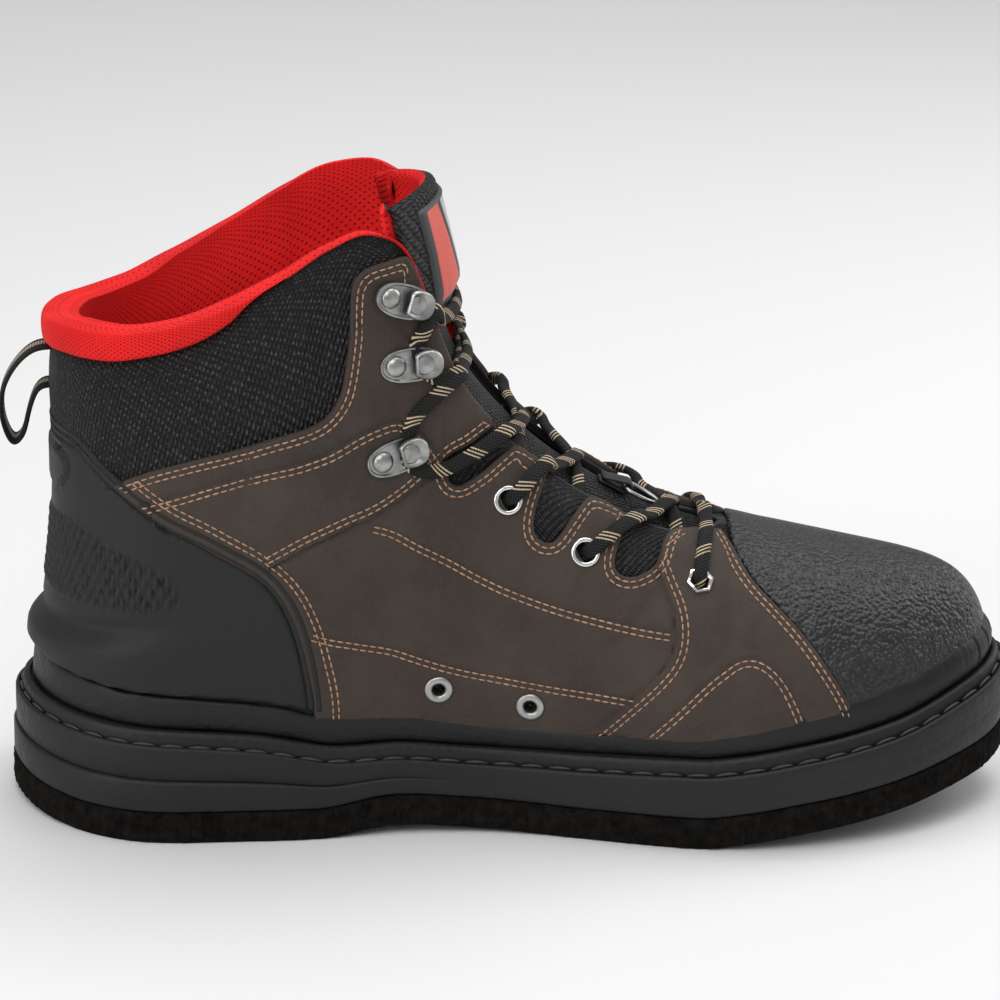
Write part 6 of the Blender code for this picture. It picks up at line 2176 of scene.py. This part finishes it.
def tab_seat():
    """Middle of the tab's fold, where the ring turns, with the directions up and ahead."""
    seat, upward = ridge_point(TAB_PLACE, TAB_PLAY + TAB_THICK + TAB_FOLD)
    return seat, upward, np.array([upward[2], 0.0, -upward[0]])


def build_tab():
    """Folded webbing tab on the tongue's ridge, and the strap that holds it."""
    fold, thick, wide, reach = TAB_FOLD, TAB_THICK, 0.0065, 0.009
    seat, upward, ahead = tab_seat()
    turn = np.linspace(-0.5 * math.pi, 0.5 * math.pi, 13)
    line = [seat - ahead * reach * share - upward * (fold + 0.5 * thick)
            for share in (1.0, 0.75, 0.5, 0.25)]
    line += [seat + (fold + 0.5 * thick) * (ahead * math.cos(a) + upward * math.sin(a))
             for a in turn]
    line += [seat - ahead * reach * share + upward * (fold + 0.5 * thick - 2.0 * fold * share)
             for share in (0.25, 0.5, 0.75, 0.95)]
    made = ribbon("tab_webbing", np.array(line), (0.0, 1.0, 0.0), wide, thick, 10)
    paint(made, finish("trim"))
    return [settle(made, "webbing", "ring_tab")]


def build_ring():
    """Steel wire ring, a flat D of round wire, that swings in the tab."""
    wire = sizes().wire
    seat, upward, ahead = tab_seat()
    across = np.array([0.0, 1.0, 0.0])
    half = 0.5 * (0.0115 - wire)
    reach = 0.0135 - wire
    bend = 0.0022
    route = [(0.0, y) for y in np.linspace(-half + bend, half - bend, 7)]
    route += [(0.02 * reach, half - 0.35 * bend), (0.10 * reach, half)]
    start = 0.32 * reach
    arc = np.linspace(0.5 * math.pi, -0.5 * math.pi, 29)
    route += [(start + (reach - start) * math.cos(a), half * math.sin(a)) for a in arc]
    route += [(0.10 * reach, -half), (0.02 * reach, -half + 0.35 * bend)]
    line = np.array([seat + ahead * x + across * y for x, y in route])
    count = len(line)
    sides = 16
    turn = full_turn(sides)
    forward = unit(np.roll(line, -1, axis=0) - np.roll(line, 1, axis=0))
    out = unit(np.cross(forward, upward))
    rings = (line[:, None] + 0.5 * wire * (out[:, None] * np.cos(turn)[None, :, None]
                                           + upward * np.sin(turn)[None, :, None]))
    made = mesh_from("ring_wire", rings.reshape(-1, 3), ring_faces(count, sides, True))
    paint(made, finish("steel"))
    return [settle(made, "steel", "lace_ring", body="ring")]


def build_footbed():
    """The insole stays as its solid, with the footbed's looks."""
    made = bpy.data.objects["insole"]
    made.data.materials.clear()
    made.data.materials.append(finish("footbed"))
    return [made]


# Stage

def build_camera():
    turn, tilt, roll = (math.radians(a) for a in (CAMERA_TURN, CAMERA_TILT, CAMERA_ROLL))
    back = Vector((math.sin(turn) * math.cos(tilt), -math.cos(turn) * math.cos(tilt),
                   math.sin(tilt)))
    right = (-back).cross(Vector((0.0, 0.0, 1.0))).normalized()
    up = right.cross(-back)
    rolled = right * math.cos(roll) + up * math.sin(roll)
    upward = up * math.cos(roll) - right * math.sin(roll)
    aim = Vector(CAMERA_AIM) + Vector(SHIFT.tolist())
    data = bpy.data.cameras.new("camera")
    data.lens = CAMERA_LENS
    data.sensor_width = CAMERA_SENSOR
    data.clip_start = 0.01
    data.clip_end = 20.0
    made = new_object("camera", data)
    matrix = Matrix((rolled, upward, back)).transposed().to_4x4()
    made.matrix_world = Matrix.Translation(aim + back * CAMERA_DISTANCE) @ matrix
    bpy.context.scene.camera = made


def area_light(name, place, target, size, power):
    data = bpy.data.lights.new(name, "AREA")
    data.shape = "RECTANGLE"
    data.size = size[0]
    data.size_y = size[1]
    data.energy = power
    made = new_object(name, data)
    made.location = place
    made.rotation_euler = (Vector(target) - Vector(place)).to_track_quat("-Z", "Y").to_euler()


def build_stage():
    bpy.ops.mesh.primitive_plane_add(size=8.0, location=(0.0, 0.0, 0.0))
    floor = bpy.context.object
    floor.name = "floor"
    pale = bpy.data.materials.new("floor")
    pale.use_nodes = True
    shader = pale.node_tree.nodes["Principled BSDF"]
    shader.inputs["Base Color"].default_value = (0.80, 0.80, 0.80, 1.0)
    shader.inputs["Roughness"].default_value = 0.7
    shader.inputs["Specular IOR Level"].default_value = 0.2
    floor.data.materials.append(pale)
    world = bpy.data.worlds.new("studio")
    world.use_nodes = True
    world.node_tree.nodes["Background"].inputs["Color"].default_value = (1.0, 1.0, 1.0, 1.0)
    world.node_tree.nodes["Background"].inputs["Strength"].default_value = 0.42
    bpy.context.scene.world = world
    bpy.context.scene.view_settings.view_transform = "Standard"
    area_light("key", (-0.35, -1.0, 1.3), (0.0, 0.0, 0.08), (0.9, 0.9), 8.0)
    area_light("top", (0.2, 0.3, 1.5), (0.0, 0.0, 0.05), (1.4, 1.0), 12.5)
    area_light("heel", (-1.1, -0.7, 0.55), (-0.05, 0.0, 0.08), (0.35, 0.9), 4.5)
    area_light("rim", (1.0, 0.5, 0.6), (0.0, 0.0, 0.08), (0.5, 0.8), 4.0)


# Operators and panel

def build_medial():
    return build_leather(-1)


def build_lateral():
    return build_leather(1)


class PieceOperator:
    """Shared by the operators: runs the piece's own function."""
    bl_options = {"REGISTER", "UNDO"}

    def execute(self, context):
        type(self).make()
        return {"FINISHED"}


def piece_operator(word, label, about, make):
    """An operator that builds one piece or group."""
    return type(f"BOOT_OT_{word}", (PieceOperator, bpy.types.Operator), {
        "bl_idname": f"boot.{word}", "bl_label": label, "bl_description": about,
        "__doc__": about, "make": staticmethod(make)})


STEPS = [
    ("felt", "Felt sole", "Builds the fuzzy felt sole", build_felt),
    ("wall", "Sole wall", "Builds the moulded wall and its stitches", build_wall),
    ("rand", "Rand", "Builds the rubber strip round the foot", build_rand),
    ("shell", "Textile shell", "Builds the shell, collar roll and lining", build_shell),
    ("tongue", "Tongue", "Builds the padded tongue and its label", build_tongue),
    ("counter", "Heel counter", "Builds the moulded heel counter", build_counter),
    ("medial", "Medial leather", "Builds the leather of the inner side", build_medial),
    ("lateral", "Lateral leather", "Builds the leather of the outer side", build_lateral),
    ("cap", "Toe cap", "Builds the pebbled toe cap", build_cap),
    ("loop", "Pull loop", "Builds the webbing loop at the heel", build_loop),
    ("metal", "Hooks and eyelets", "Builds hooks, eyelets and drains", build_metal),
    ("laces", "Laces", "Builds the two strands of lace", build_laces),
    ("tab", "Ring tab", "Builds the webbing tab", build_tab),
    ("ring", "Ring", "Builds the wire ring", build_ring),
    ("footbed", "Footbed", "Gives the insole its looks", build_footbed),
    ("stage", "Stage", "Builds floor and lights", build_stage),
]
OPERATORS = [piece_operator(*step) for step in STEPS]


class BOOT_PT_panel(bpy.types.Panel):
    """Sizes, colours and pieces of the boot"""
    bl_label = "Wading boot"
    bl_idname = "BOOT_PT_panel"
    bl_space_type = "VIEW_3D"
    bl_region_type = "UI"
    bl_category = "Boot"

    def draw(self, context):
        for group in (context.scene.boot_sizes, context.scene.boot_colours):
            box = self.layout.box()
            for name in group.__annotations__:
                box.prop(group, name)
        for word, label, _, _ in STEPS:
            self.layout.operator(f"boot.{word}", text=label)


CLASSES = [BootSizes, BootColours, *OPERATORS, BOOT_PT_panel]


def register():
    for each in CLASSES:
        bpy.utils.register_class(each)
    bpy.types.Scene.boot_sizes = PointerProperty(type=BootSizes)
    bpy.types.Scene.boot_colours = PointerProperty(type=BootColours)


def unregister():
    del bpy.types.Scene.boot_colours
    del bpy.types.Scene.boot_sizes
    for each in reversed(CLASSES):
        bpy.utils.unregister_class(each)


def main():
    register()
    build_camera()
    for word, _, _, _ in STEPS:
        getattr(bpy.ops.boot, word)()


if __name__ == "__main__":
    main()
